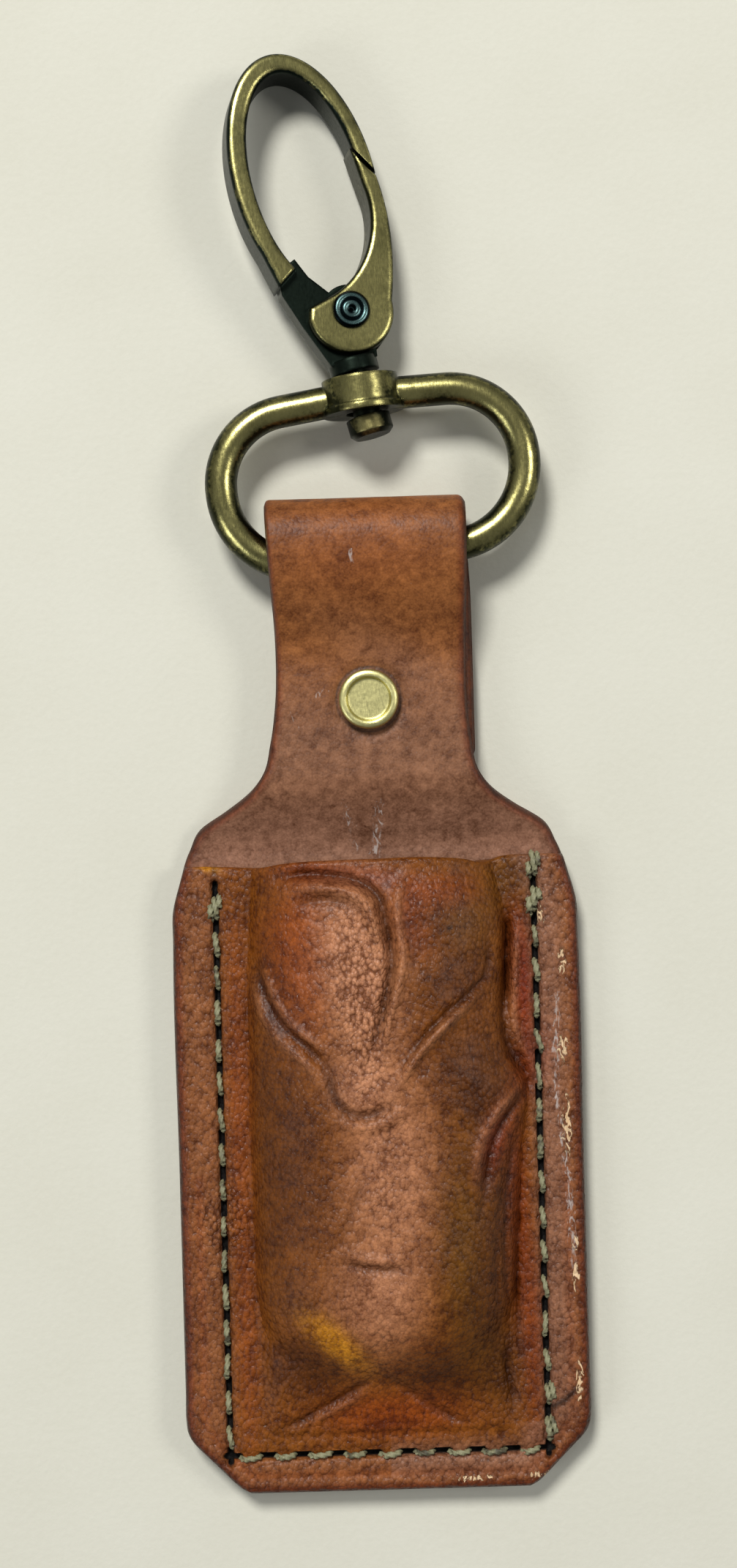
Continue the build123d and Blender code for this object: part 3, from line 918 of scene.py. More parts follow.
def wear(piece: bpy.types.Object, material: bpy.types.Material) -> None:
    """Gives a piece one material.

    Args:
        piece: The object.
        material: The material.
    """
    piece.data.materials.clear()
    piece.data.materials.append(material)


def joint(name: str) -> dict:
    """Finds one joint of the frame.

    Args:
        name: The joint's name.

    Returns:
        Its entry, with its place and axis.
    """
    return next(one for one in frame["joints"] if one["name"] == name)


# ---------------------------------------------------------------- the holster's shape
@dataclass
class Pattern:
    """Sizes of the holster's cut leather, in millimetres, taken from the frame.

    Attributes:
        back: Thickness of the back leather.
        front: Thickness of the front leather.
        side_inset: From the pouch's side to the stitch line.
        end_inset: From the pouch's bottom to the stitch line.
        side_stitches: Stitches in the left row; the right one has one more.
        bottom_stitches: Stitches in the bottom row.
        corner_inset: How far the bottom row's ends stay off the side rows.
        pitch: From one stitch of a side row to the next.
        mouth: Height of the pocket's edge along the pouch.
        layer_gap: Between two layers that lie on each other.
        strap_inset: How much narrower the strap's half is than the pouch's.
        half: Half width of the pouch.
        bottom: Height of the pouch's bottom edge.
        fold: Height of the fold's top.
        loop_top: Level of the fold's upper face.
        rivet: Place of the rivet, seen from above.
        strap_level: Level of the strap's lower face at the rivet.
        tail_level: Level of the tail's lower face at the rivet.
        crown: Level of the pocket's highest place.
    """

    back: float = 2.2
    front: float = 2.0
    side_inset: float = 5.15
    end_inset: float = 4.6
    side_stitches: int = 16
    bottom_stitches: int = 9
    corner_inset: float = 0.3
    pitch: float = 4.18
    mouth: float = 36.8
    layer_gap: float = 0.05
    strap_inset: float = 12.05
    half: float = field(init=False)
    bottom: float = field(init=False)
    fold: float = field(init=False)
    loop_top: float = field(init=False)
    rivet: tuple[float, float] = field(init=False)
    strap_level: float = field(init=False)
    tail_level: float = field(init=False)
    crown: float = field(init=False)

    def __post_init__(self) -> None:
        """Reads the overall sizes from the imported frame."""
        low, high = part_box("back_panel")
        cap_low, cap_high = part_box("rivet_cap")
        self.half = high.x / MM
        self.bottom = low.y / MM
        self.fold = high.y / MM
        self.loop_top = high.z / MM
        self.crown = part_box("pocket_front")[1].z / MM
        middle = (cap_low + cap_high) / 2 / MM
        self.rivet = (middle.x, middle.y)
        self.strap_level = cap_low.z / MM - self.back
        self.tail_level = self.strap_level - self.back - self.layer_gap

    @property
    def stitch_x(self) -> float:
        """Returns the distance of the side rows from the middle."""
        return self.half - self.side_inset

    @property
    def stitch_y(self) -> float:
        """Returns the height of the bottom row."""
        return self.bottom + self.end_inset

    @property
    def bottom_slots(self) -> np.ndarray:
        """Returns the places of the bottom row's slots across the pouch."""
        reach = self.stitch_x - self.corner_inset
        return np.linspace(-reach, reach, self.bottom_stitches + 1)

    def right_edge(self, y: np.ndarray) -> np.ndarray:
        """Right side of the pouch, shoulder and strap.

        Args:
            y: Heights to read it at.

        Returns:
            Distances from the middle.
        """
        corner = [
            (0.0, 8.56), (0.2, 7.31), (0.5, 6.62), (0.85, 6.1), (1.17, 5.73), (3.0, 3.9),
            (5.0, 1.9), (5.73, 1.17), (6.5, 0.57), (7.5, 0.14), (8.6, 0.0), (12.0, 0.0),
            (20.0, 0.0),
        ]
        side = [
            (0.0, 0.0), (27.0, 0.0), (31.5, 0.15), (34.6, 0.95), (38.0, 2.1), (40.6, 3.7),
            (42.6, 6.9), (44.4, 9.4), (46.8, 11.2), (50.5, 12.0), (55.0, 12.4), (62.0, 12.35),
            (70.0, 12.15), (self.fold, self.strap_inset),
        ]
        points = [(self.bottom + up, self.half - inset) for up, inset in corner]
        points.extend((up, self.half - inset) for up, inset in side)
        return curve_through(points, y)

    def left_edge(self, y: np.ndarray) -> np.ndarray:
        """Left side, whose shoulder is a little fuller.

        Args:
            y: Heights to read it at.

        Returns:
            Distances from the middle.
        """
        return self.right_edge(y) + 0.25 * bell(y - 43.5, 3.0)


@dataclass(frozen=True)
class RingSweep:
    """Space that the ring's wire passes through as it swings in the fold, in millimetres.

    Attributes:
        wire: Radius of the wire.
        rise: Turning axis above the middle of the lower wire.
        bend: Radius of the ring's lower bends.
        half_width: Half width of the ring, to the middle of its wire.
        gap: Clearance round the wire.
        free_half: Half length of the axis beyond which the fold is drawn in.
        draw: How much of what lies beyond it is drawn in.
        skin: Least leather left between the two faces.
        fold_reach: How far across the axis the fold runs.
        fade: How far across the axis the drawing in has died away.
        steep: How much of the bend's inner radius is left out, where its wall is upright.
    """

    wire: float = 1.9
    rise: float = 0.7
    bend: float = 9.4
    half_width: float = 17.9
    gap: float = 0.25
    free_half: float = 12.8
    draw: float = 0.42
    skin: float = 0.3
    fold_reach: float = 5.0
    fade: float = 26.0
    steep: float = 0.8

    def measured(self, places: np.ndarray) -> tuple[np.ndarray, np.ndarray, np.ndarray, dict]:
        """Places by the turning axis: offset, distance along it, distance across it.

        Args:
            places: Places in millimetres.

        Returns:
            Offsets from the pivot, distances along and across the axis, and the joint.
        """
        swing = joint("ring_swing")
        axis = np.array(swing["axis"])
        away = places - np.array(swing["pos_m"]) / MM
        return away, away @ axis, away[:, 1] * axis[0] - away[:, 0] * axis[1], swing

    def narrow(self, places: np.ndarray) -> np.ndarray:
        """Draws the fold's two ends in, clear of the ring's lower corners.

        Args:
            places: Places in millimetres.

        Returns:
            The moved places.
        """
        _, along, lateral, swing = self.measured(places)
        extra = np.maximum(np.abs(along) - self.free_half, 0) * self.draw
        pull = np.sign(along) * extra * smooth(self.fade, self.fold_reach, np.abs(lateral))
        return places - pull[:, None] * np.array(swing["axis"])

    def reach(self, along: np.ndarray) -> np.ndarray:
        """Radius of the swept space.

        Args:
            along: Distances along the axis from the pivot.

        Returns:
            The radius at each distance.
        """
        straight = self.rise + self.wire + self.gap
        inner = self.bend - self.wire - self.gap
        off = np.clip(np.abs(along) - (self.half_width - self.bend), 0, inner - self.steep)
        return np.maximum(straight, self.bend - self.rise - np.sqrt(inner**2 - off**2))

    def clear(self, inner: np.ndarray, outer: np.ndarray) -> np.ndarray:
        """Moves one face of the strap off the swept space.

        Args:
            inner: Places of the face that looks into the fold.
            outer: The places opposite them on the other face.

        Returns:
            The moved places.
        """
        away, along, lateral, swing = self.measured(inner)
        middle = np.array(swing["pos_m"]) / MM
        need = np.sqrt(np.maximum(self.reach(along) ** 2 - lateral**2, 0))
        side = np.sign(outer[:, 2] - middle[2])
        room = np.abs(outer[:, 2] - middle[2]) - self.skin
        level = np.maximum(np.abs(away[:, 2]), np.minimum(need, room))
        moved = inner.copy()
        in_fold = (np.abs(lateral) < self.fold_reach) & (level > np.abs(away[:, 2]))
        moved[in_fold, 2] = (middle[2] + side * level)[in_fold]
        return moved


@dataclass
class BackPanel:
    """The long strip of leather: pouch back, neck, strap, fold and tail.

    Attributes:
        pattern: Sizes of the cut leather.
        finish: The material.
        columns: Cells across the sheet.
        rows: Cells along it.
        edge_radius: Radius of the worn edges, in millimetres.
        thinnest: Share of the thickness left at the very edge.
        corner_radius: Radius of the tail's end corners.
        corner_cut: How far they are rounded in.
        dent_radius: Radius of the dent round the rivet's cap.
        dent_depth: Its depth.
        scuffs: Line, half width and strength of each scuffed place.
    """

    pattern: Pattern
    finish: bpy.types.Material
    columns: int = 96
    rows: int = 430
    edge_radius: float = 0.95
    thinnest: float = 0.34
    corner_radius: float = 2.2
    corner_cut: float = 1.3
    dent_radius: float = 3.9
    dent_depth: float = 0.22
    scuffs: tuple[tuple[tuple[tuple[float, float], ...], float, float], ...] = (
        (((-3.4, 44.2), (-2.6, 41.2), (-1.9, 37.6)), 0.8, 0.75),
        (((0.9, 43.6), (0.7, 41.0), (0.2, 37.4)), 0.9, 0.95),
        (((-9.5, 54.0), (-7.0, 51.2)), 1.0, 0.55),
        (((-6.6, 55.5), (-4.9, 57.2)), 0.7, 0.6),
        (((3.4, 50.8), (5.6, 49.4)), 1.0, 0.6),
        (((-1.9, 72.6), (-1.5, 71.8)), 0.7, 0.8),
        (((4.9, 66.5), (5.6, 71.0)), 0.35, 0.5),
    )

    def side_line(self) -> tuple[np.ndarray, np.ndarray]:
        """Middle line of the strip, seen from its side.

        Returns:
            Places (y, z) in millimetres, and how far along the strip each one lies.
        """
        p = self.pattern
        mid = p.back / 2
        top = p.loop_top - mid
        # Each corner is (y, z, radius of its bend).
        corners = [
            (p.bottom, mid, 0.0),
            (39.0, mid, 6.0),
            (45.6, p.strap_level + mid, 6.0),
            (61.8, p.strap_level + mid, 12.0),
            (71.3, top, 12.0),
            (p.fold - mid, top, 3.85),
            (p.fold - mid, mid, 3.85),
            (71.3, mid, 12.0),
            (61.8, p.tail_level + mid, 12.0),
            (47.5, p.tail_level + mid, 0.0),
        ]
        dense = [np.array(corners[0][:2])]
        for before, here, after in zip(corners, corners[1:], corners[2:]):
            a, b, c = (np.array(one[:2]) for one in (before, here, after))
            into = (b - a) / np.linalg.norm(b - a)
            out = (c - b) / np.linalg.norm(c - b)
            turn = math.acos(np.clip(into @ out, -1, 1))
            back_off = here[2] * math.tan(turn / 2)
            start = b - into * back_off
            side = np.sign(into[0] * out[1] - into[1] * out[0])
            centre = start + side * here[2] * np.array([-into[1], into[0]])
            arm = start - centre
            for step in range(25):
                angle = side * turn * step / 24
                spun = np.array([
                    arm[0] * math.cos(angle) - arm[1] * math.sin(angle),
                    arm[0] * math.sin(angle) + arm[1] * math.cos(angle),
                ])
                dense.append(centre + spun)
        dense.append(np.array(corners[-1][:2]))
        line = np.array(dense)
        lengths = np.concatenate([[0], np.cumsum(np.linalg.norm(np.diff(line, axis=0), axis=1))])
        return line, lengths

    def build(self) -> bpy.types.Object:
        """Shapes, paints and finishes the strip.

        Returns:
            The finished piece.
        """
        p = self.pattern
        line, lengths = self.side_line()
        piece = grid_sheet("back_leather", self.columns, self.rows)
        places = read_places(piece)
        # Columns and end rows crowd towards the edges, which are rounded off.
        across = np.sin(places[:, 0] * math.pi / 2) * 0.7 + places[:, 0] * 0.3
        along = (places[:, 1] + 1) / 2
        run = (along - 0.0115 * np.sin(along * 2 * math.pi)) * lengths[-1]
        y = np.interp(run, lengths, line[:, 0])
        z = np.interp(run, lengths, line[:, 1])
        fold_run = lengths[int(np.argmax(line[:, 0]))]
        tail = run > fold_run
        # The tail was cut a little askew, and its end corners are rounded.
        skew = smooth(fold_run, fold_run + 14, run)
        corner = self.corner_cut * smooth(lengths[-1] - self.corner_radius, lengths[-1], run) ** 2
        half_strap = p.half - p.strap_inset
        right = np.where(tail, half_strap + 0.55 * skew, p.right_edge(y)) - corner
        left = np.where(tail, half_strap - 0.9 * skew, p.left_edge(y)) - corner
        x = np.where(across > 0, across * right, across * left)
        slope = np.gradient(line, lengths, axis=0)
        ny = -np.interp(run, lengths, slope[:, 1])
        nz = np.interp(run, lengths, slope[:, 0])
        # The sheet sags a little between its edges and carries faint hand marks.
        wave = 0.05 * leather_noise(x, run, 9.0, 3) + 0.02 * leather_noise(x, run, 2.6, 5)
        shift = wave * smooth(0.0, 3.0, run) - self.rivet_dent(x, y, tail)
        shift = np.where((y < p.mouth - 1) & ~tail, 0, shift)
        places[:, 0] = x
        places[:, 1] = y + ny * shift
        places[:, 2] = z + nz * shift
        write_places(piece, places * MM)
        self.paint(piece, x, y, tail, across)
        settings = {"thickness": p.back * MM, "offset": 0.0, "use_even_offset": False}
        apply_modifier(piece, "SOLIDIFY", **settings)
        ends = np.minimum(run, lengths[-1] - run)
        edge = np.minimum(np.minimum(right, left) * (1 - np.abs(across)), ends)
        share = np.maximum(bullnose(edge, self.edge_radius), self.thinnest)
        self.round_edges(piece, share)
        settle(piece, 60)
        wear(piece, self.finish)
        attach(piece, "holster")
        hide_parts("back_panel")
        return piece

    def round_edges(self, piece: bpy.types.Object, share: np.ndarray) -> None:
        """Thins the solid sheet towards its edges and clears the ring's way.

        Args:
            piece: The sheet, whose first vertices are one face and whose next are the other.
            share: Share of the thickness left at each place of a face.
        """
        places = read_places(piece)
        count = len(share)
        upper, lower = places[:count], places[count:2 * count]
        middle = (upper + lower) / 2
        places[:count] = middle + (upper - middle) * share[:, None]
        places[count:2 * count] = middle + (lower - middle) * share[:, None]
        sweep = RingSweep()
        places = sweep.narrow(places / MM)
        places[count:2 * count] = sweep.clear(places[count:2 * count], places[:count])
        write_places(piece, places * MM)

    def rivet_dent(self, x: np.ndarray, y: np.ndarray, tail: np.ndarray) -> np.ndarray:
        """Ring pressed into the strap round the cap.

        Args:
            x: Places across the strip.
            y: Places along it.
            tail: True where a place is on the tail.

        Returns:
            Depth of the dent.
        """
        distance = np.hypot(x - self.pattern.rivet[0], y - self.pattern.rivet[1])
        return np.where(tail, 0, self.dent_depth * bell(distance - self.dent_radius, 0.8))

    def paint(self, piece: bpy.types.Object, x: np.ndarray, y: np.ndarray, tail: np.ndarray,
              across: np.ndarray) -> None:
        """Dyes the strip, lifts its shoulder with painted light, and sets its worn and scuffed
        places.

        Args:
            piece: The flat sheet.
            x: Places across the strip.
            y: Heights of the places.
            tail: True where a place is on the tail.
            across: Places across the strip, from -1 to 1.
        """
        p = self.pattern
        canvas = Canvas(x, y, Tint.STRAP)
        canvas.dye(Tint.NECK, smooth(64, 50, y) * ~tail * 0.9)
        # The shoulder takes light plum: partly its own tone, partly painted light that lifts its
        # slope, which faces away from the key.
        canvas.dye(Tint.PLUM, smooth(48, 39, y) * ~tail * 0.55)
        canvas.patch(Patch((3.0, 60.0), (9, 3.4), -35, Tint.NECK, 0.5))
        canvas.patch(Patch((-1.0, 73.0), (10, 5), 0, Tint.RUST, 0.25))
        edge = np.minimum((1 - across) * p.right_edge(y), (1 + across) * p.left_edge(y))
        canvas.dye(Tint.EDGE, (1 - smooth(0.3, 1.5, edge)) * 0.85)
        canvas.dye(Tint.BLACK, (1 - smooth(0.05, 0.6, edge)) * 0.65)
        ring = np.hypot(x - p.rivet[0], y - p.rivet[1])
        canvas.dye(Tint.BLACK, bell(ring - 3.7, 0.35) * ~tail * 0.7)
        for stroke, width, strength in self.scuffs:
            distance, _ = stroke_distance(x, y, stroke)
            canvas.mark("scuff_and_sheen", bell(distance, width) * strength * ~tail)
        canvas.mark("pebble", np.full(len(x), 0.12))
        canvas.store(piece.data)


@dataclass
class PocketFront:
    """The moulded pocket front with its folds, dyes, painted light and shade, and worn border.

    Attributes:
        pattern: Sizes of the cut leather.
        finish: The material.
        columns: Cells across the sheet.
        rows: Cells along it.
        edge_radius: Radius of the outer edge, in millimetres.
        lip_radius: Radius of the mouth's edge.
        crease_gain: Factor on the height of every crease.
        half_slot: Half length of an awl hole, without its round ends.
    """

    pattern: Pattern
    finish: bpy.types.Material
    columns: int = 176
    rows: int = 264
    edge_radius: float = 1.15
    lip_radius: float = 0.5
    crease_gain: float = 1.35
    half_slot: float = 0.78
    PEBBLED = Patch((-18.9, -5.4), (4.0, 4.8), 0, None, 1.0)
    CHIPS = (
        ((21.9, 24.0), (0.8, 2.6)), ((21.6, 13.5), (1.1, 3.0)), ((21.9, 4.0), (1.1, 5.5)),
        ((22.4, -9.5), (0.8, 1.6)), ((22.5, -13.0), (0.6, 3.0)), ((22.6, -25.5), (0.7, 4.6)),
        ((18.0, -36.4), (4.0, 0.7)), ((9.0, -36.6), (5.0, 0.6)), ((19.3, 29.6), (1.2, 1.8)),
    )
    STREAKS = ((21.2, 20.0), (20.6, 9.0), (21.8, 1.0), (22.4, -12.0))
    SCAR = ((18.6, -28.6), (20.4, -28.0), (22.2, -26.4))
    CREASES = (
        Crease((
            (-11.4, 34.8), (-8.2, 35.3), (-4.6, 35.0), (-1.6, 34.3), (0.6, 32.6), (1.2, 29.6),
            (1.9, 25.4), (1.2, 21.6), (0.2, 17.6), (-0.5, 15.0)
        ), -0.62, 0.55, 0.12),
        Crease((
            (-10.4, 33.2), (-7.6, 33.9), (-4.4, 33.6), (-1.9, 32.8), (-0.5, 31.0), (-0.1, 28.4),
            (0.7, 25.0)
        ), 0.7, 0.8, 0.3),
        Crease(((-9.2, 31.6), (-6.4, 32.3), (-4.0, 32.0), (-2.2, 31.0)), -0.25, 0.5, 0.4),
        Crease((
            (3.8, 35.6), (2.7, 33.0), (2.5, 29.6), (3.3, 25.6), (2.5, 22.4), (1.4, 19.2),
            (0.6, 15.2)
        ), 0.5, 0.6),
        Crease((
            (12.9, 29.0), (13.3, 23.4), (11.2, 21.3), (7.4, 18.3), (4.8, 15.9), (2.9, 13.2)
        ), -0.42, 0.4),
        Crease((
            (11.2, 20.5), (7.3, 17.2), (4.9, 14.8), (3.1, 12.4), (1.9, 9.8)
        ), 0.62, 0.62, 0.25),
        Crease((
            (-14.2, 26.0), (-13.3, 22.0), (-12.2, 19.4), (-10.6, 17.2), (-8.2, 15.3),
            (-6.2, 13.2), (-5.2, 11.0)
        ), -0.42, 0.42),
        Crease((
            (-13.4, 25.0), (-12.4, 21.8), (-11.2, 19.3), (-9.6, 17.4), (-7.2, 15.7),
            (-5.4, 13.9)
        ), 0.34, 0.45),
        Crease((
            (-14.8, 23.5), (-13.8, 19.6), (-12.4, 16.9), (-10.2, 14.9), (-8.0, 13.2),
            (-6.6, 11.0)
        ), 0.38, 0.5),
        Crease((
            (-5.7, 12.6), (-5.6, 9.9), (-4.2, 7.9), (-1.6, 7.0), (1.3, 8.4)
        ), -0.45, 0.55, 0.15),
        Crease(((-5.2, 6.9), (-2.4, 5.7), (1.0, 6.6), (3.4, 8.9)), 0.26, 0.8, 0.3),
        Crease(((-2.1, 0.4), (-3.3, -3.3), (-4.7, -7.0)), -0.22, 0.45, 0.35),
        Crease(((-4.9, -9.5), (-1.0, -10.6), (2.6, -10.4)), -0.34, 0.42, 0.25),
        Crease(((-5.2, -8.4), (-1.0, -9.5), (2.8, -9.3)), 0.22, 0.6, 0.3),
        Crease((
            (15.6, 30.0), (15.2, 21.8), (14.6, 18.4), (15.1, 14.3), (16.7, 11.5), (17.6, 9.9)
        ), -0.95, 0.55, 0.12),
        Crease(((16.6, 29.0), (16.3, 22.2), (15.9, 18.6), (16.2, 15.2), (17.5, 12.6)), 0.5, 0.55),
        Crease((
            (17.6, 9.6), (16.1, 7.9), (14.0, 5.5), (12.6, 2.6), (12.0, -1.0), (11.6, -4.0)
        ), -0.55, 0.45, 0.3),
        Crease(((16.2, 9.6), (14.6, 8.0), (12.8, 6.0), (11.2, 3.0), (10.6, -1.5)), 0.4, 0.55),
        Crease((
            (17.0, 6.5), (15.6, 3.5), (14.4, -2.0), (14.0, -9.0), (14.2, -17.0)
        ), -0.4, 0.4, 0.3),
        Crease(((15.0, 2.0), (13.4, -4.0), (12.9, -11.0), (13.2, -19.0)), -0.3, 0.35, 0.3),
        Crease(((16.4, -1.0), (15.6, -9.0), (15.5, -17.0), (15.9, -25.0)), -0.34, 0.38, 0.3),
        Crease(((13.6, -21.5), (14.6, -25.6), (15.0, -29.0)), -0.45, 0.45, 0.3),
        Crease(((-0.6, -23.4), (2.4, -25.6), (5.4, -28.0), (9.6, -30.4)), -0.3, 0.55, 0.2),
        Crease(((-1.6, -23.8), (-5.2, -26.2), (-9.4, -28.8), (-13.4, -30.6)), -0.34, 0.5, 0.25),
        Crease(((-2.4, -25.6), (-6.0, -27.6), (-10.0, -29.6)), 0.25, 0.5, 0.3),
        Crease(((-9.0, -29.0), (-10.2, -31.8)), -0.22, 0.3, 0.4),
        Crease(((-7.4, -28.4), (-8.0, -31.2)), -0.18, 0.3, 0.4),
    )
    DYES_AND_SHEEN = (
        Patch((-9.0, 28.0), (4.6, 7.0), 10, Tint.ORANGE, 0.6),
        Patch((-3.6, 34.9), (7.0, 1.6), -6, Tint.RED, 0.65),
        # The pale pink patch down the middle is painted highlight along the bulge's ridge.
        Patch((-2.0, 24.0), (4.6, 11.0), 4, Tint.ROSE_SHEEN, 0.85),
        Patch((5.2, 29.5), (3.6, 4.5), 20, Tint.RED, 0.45),
        Patch((9.6, 30.5), (4.6, 6.0), 0, Tint.OLIVE, 0.7),
        Patch((8.0, 33.0), (4.6, 2.2), 0, Tint.ORANGE, 0.5),
        Patch((16.0, 33.8), (3.2, 3.6), 0, Tint.OLIVE, 0.75),
        Patch((17.0, 22.5), (1.7, 8.0), 3, Tint.RED, 0.85),
        Patch((18.0, 12.5), (2.4, 4.6), -12, Tint.RED, 0.6),
        Patch((10.8, 12.0), (4.6, 6.5), 25, Tint.UMBER, 0.85),
        Patch((8.5, 22.5), (5.0, 4.5), 30, Tint.UMBER, 0.6),
        Patch((-12.6, 6.0), (3.6, 24.0), 0, Tint.UMBER, 0.6),
        Patch((-9.0, 21.0), (3.2, 6.0), 10, Tint.RUST, 0.5),
        # The pale pink patches further down are painted highlight along the same ridge.
        Patch((-2.2, 11.0), (3.4, 3.2), 0, Tint.ROSE_SHEEN, 0.75),
        Patch((1.0, 1.0), (5.6, 12.0), 0, Tint.ROSE_SHEEN, 0.6),
        Patch((-1.0, -14.0), (5.4, 6.4), 0, Tint.ROSE_SHEEN, 0.6),
        Patch((-6.1, -18.9), (1.7, 4.6), 46, Tint.AMBER, 0.95),
        Patch((-9.0, 0.0), (4.6, 12.0), 0, Tint.UMBER, 0.55),
        Patch((-9.6, -23.0), (4.8, 3.8), -15, Tint.UMBER, 0.85),
        Patch((6.6, -23.6), (5.2, 3.8), 12, Tint.UMBER, 0.9),
        Patch((0.4, -28.6), (8.6, 2.9), 0, Tint.ORANGE, 0.7),
        Patch((12.6, 2.6), (1.6, 4.6), -16, Tint.RED, 0.9),
        Patch((15.6, -6.0), (1.6, 13.0), 0, Tint.RED, 0.6),
        Patch((9.6, -9.0), (3.6, 13.0), 0, Tint.OLIVE, 0.85),
        Patch((12.4, -22.0), (2.6, 5.4), 12, Tint.OLIVE, 0.8),
        Patch((13.0, -13.0), (3.4, 16.0), 0, Tint.UMBER, 0.6),
        Patch((-16.6, 10.0), (1.5, 22.0), 0, Tint.RUST, 0.6),
        Patch((-16.4, -20.0), (1.4, 14.0), 0, Tint.RUST, 0.5),
        Patch((17.4, -20.0), (1.4, 12.0), 0, Tint.RED, 0.4),
        Patch((-14.6, 33.0), (4.4, 2.8), 0, Tint.TAN, 0.7),
        Patch((-19.6, 36.2), (1.3, 0.5), -14, Tint.AMBER, 0.9),
    )

    def mouth_line(self, x: np.ndarray) -> np.ndarray:
        """Pocket's cut edge.

        Args:
            x: Places across the pouch.

        Returns:
            Heights of the edge.
        """
        points = [
            (-24.0, 36.2), (-21.0, 36.3), (-17.0, 36.15), (-13.8, 36.0), (-10.5, 36.5),
            (-5.0, 36.75), (0.0, 36.8), (7.0, 36.8), (10.5, 36.5), (12.8, 36.0),
            (15.2, 36.6), (18.6, 36.75), (24.0, 36.6),
        ]
        return curve_through(points, x)

    def foot(self, y: np.ndarray) -> tuple[np.ndarray, np.ndarray]:
        """Where the bulge's walls meet the border.

        Args:
            y: Heights to read them at.

        Returns:
            Distances of the left and of the right wall from the middle.
        """
        left_points = [(-31.0, 14.9), (-10.0, 15.2), (15.0, 15.3), (30.0, 14.8), (37.0, 14.2)]
        right_points = [
            (-31.0, 15.0), (-22.0, 15.0), (-10.0, 15.8), (2.0, 16.6), (10.5, 17.4),
            (15.0, 16.0), (20.0, 15.3), (30.0, 15.2), (37.0, 13.6),
        ]
        return curve_through(left_points, y), curve_through(right_points, y)

    def height(self, x: np.ndarray, y: np.ndarray) -> np.ndarray:
        """Shapes the bulge from a tapering body and a skirt that fills its lower corners.

        Args:
            x: Places across the pouch.
            y: Places along it.

        Returns:
            Heights over the flat border.
        """
        levels = [
            (-31.0, 7.1), (14.0, 7.1), (24.0, 6.9), (30.0, 6.2), (33.4, 5.5), (35.4, 4.7),
            (38.0, 4.5),
        ]
        level = curve_through(levels, np.clip(y, levels[0][0], levels[-1][0]))
        left, right = self.foot(y)
        share = np.abs(x) / np.where(x < 0, left, right)
        toe = np.maximum(-11.5 - y, 0) / 13.6
        rise = np.clip(1 - share**3.2 - toe**2.3, 0, 1) ** 0.66
        body = level * rise * (1 - 0.08 * np.clip(share, 0, 1) ** 2)
        skirt = 3.9 * smooth(-31.6, -18.5, y) * (1 - np.clip(share, 0, 1) ** 2.6)
        skirt = skirt + 0.5 * smooth(-31.2, -30.2, y) * smooth(1.0, 0.86, share)
        # A rounded maximum of the two, so that no crease shows between them.
        round_off = 0.9
        joined = (body + skirt + np.hypot(body - skirt, round_off) - round_off) / 2
        return np.maximum(joined, 0) * smooth(1.04, 0.985, share) * smooth(-31.4, -30.6, y)

    def relief(self, x: np.ndarray, y: np.ndarray) -> tuple[np.ndarray, np.ndarray, np.ndarray]:
        """Adds up the creases.

        Args:
            x: Places across the pouch.
            y: Places along it.

        Returns:
            Their height, and how far each place lies in a groove and on a ridge.
        """
        total = np.zeros(len(x))
        groove = np.zeros(len(x))
        ridge = np.zeros(len(x))
        for crease in self.CREASES:
            distance, along = stroke_distance(x, y, crease.points)
            fade = smooth(0, crease.ends, along) * smooth(0, crease.ends, 1 - along)
            shape = bell(distance, crease.width) * (0.25 + 0.75 * fade)
            total += self.crease_gain * crease.height * shape
            marked = groove if crease.height < 0 else ridge
            np.maximum(marked, shape * min(1.0, abs(crease.height) * 2.2), out=marked)
        return total, groove, ridge

    def pits(self, x: np.ndarray, y: np.ndarray) -> np.ndarray:
        """Finds the awl holes.

        Args:
            x: Places across the pouch.
            y: Places along it.

        Returns:
            How far each place lies in a hole, from 0 to 1.
        """
        p = self.pattern
        slots = []
        for number in range(p.side_stitches + 1):
            height = p.stitch_y + number * p.pitch
            slots.extend([(-p.stitch_x, height, True), (p.stitch_x, height, True)])
        slots.extend((place, p.stitch_y, False) for place in p.bottom_slots)
        found = np.zeros(len(x))
        for cx, cy, upright in slots:
            long, wide = (y - cy, x - cx) if upright else (x - cx, y - cy)
            reach = np.maximum(np.abs(long) - self.half_slot, 0)
            found = np.maximum(found, 1 - smooth(0.2, 0.5, np.hypot(reach, wide)))
        return found

    def build(self) -> bpy.types.Object:
        """Shapes, paints and finishes the pocket front.

        Returns:
            The finished piece.
        """
        p = self.pattern
        piece = grid_sheet("pocket_leather", self.columns, self.rows)
        places = read_places(piece)
        u, v = places[:, 0], (places[:, 1] + 1) / 2
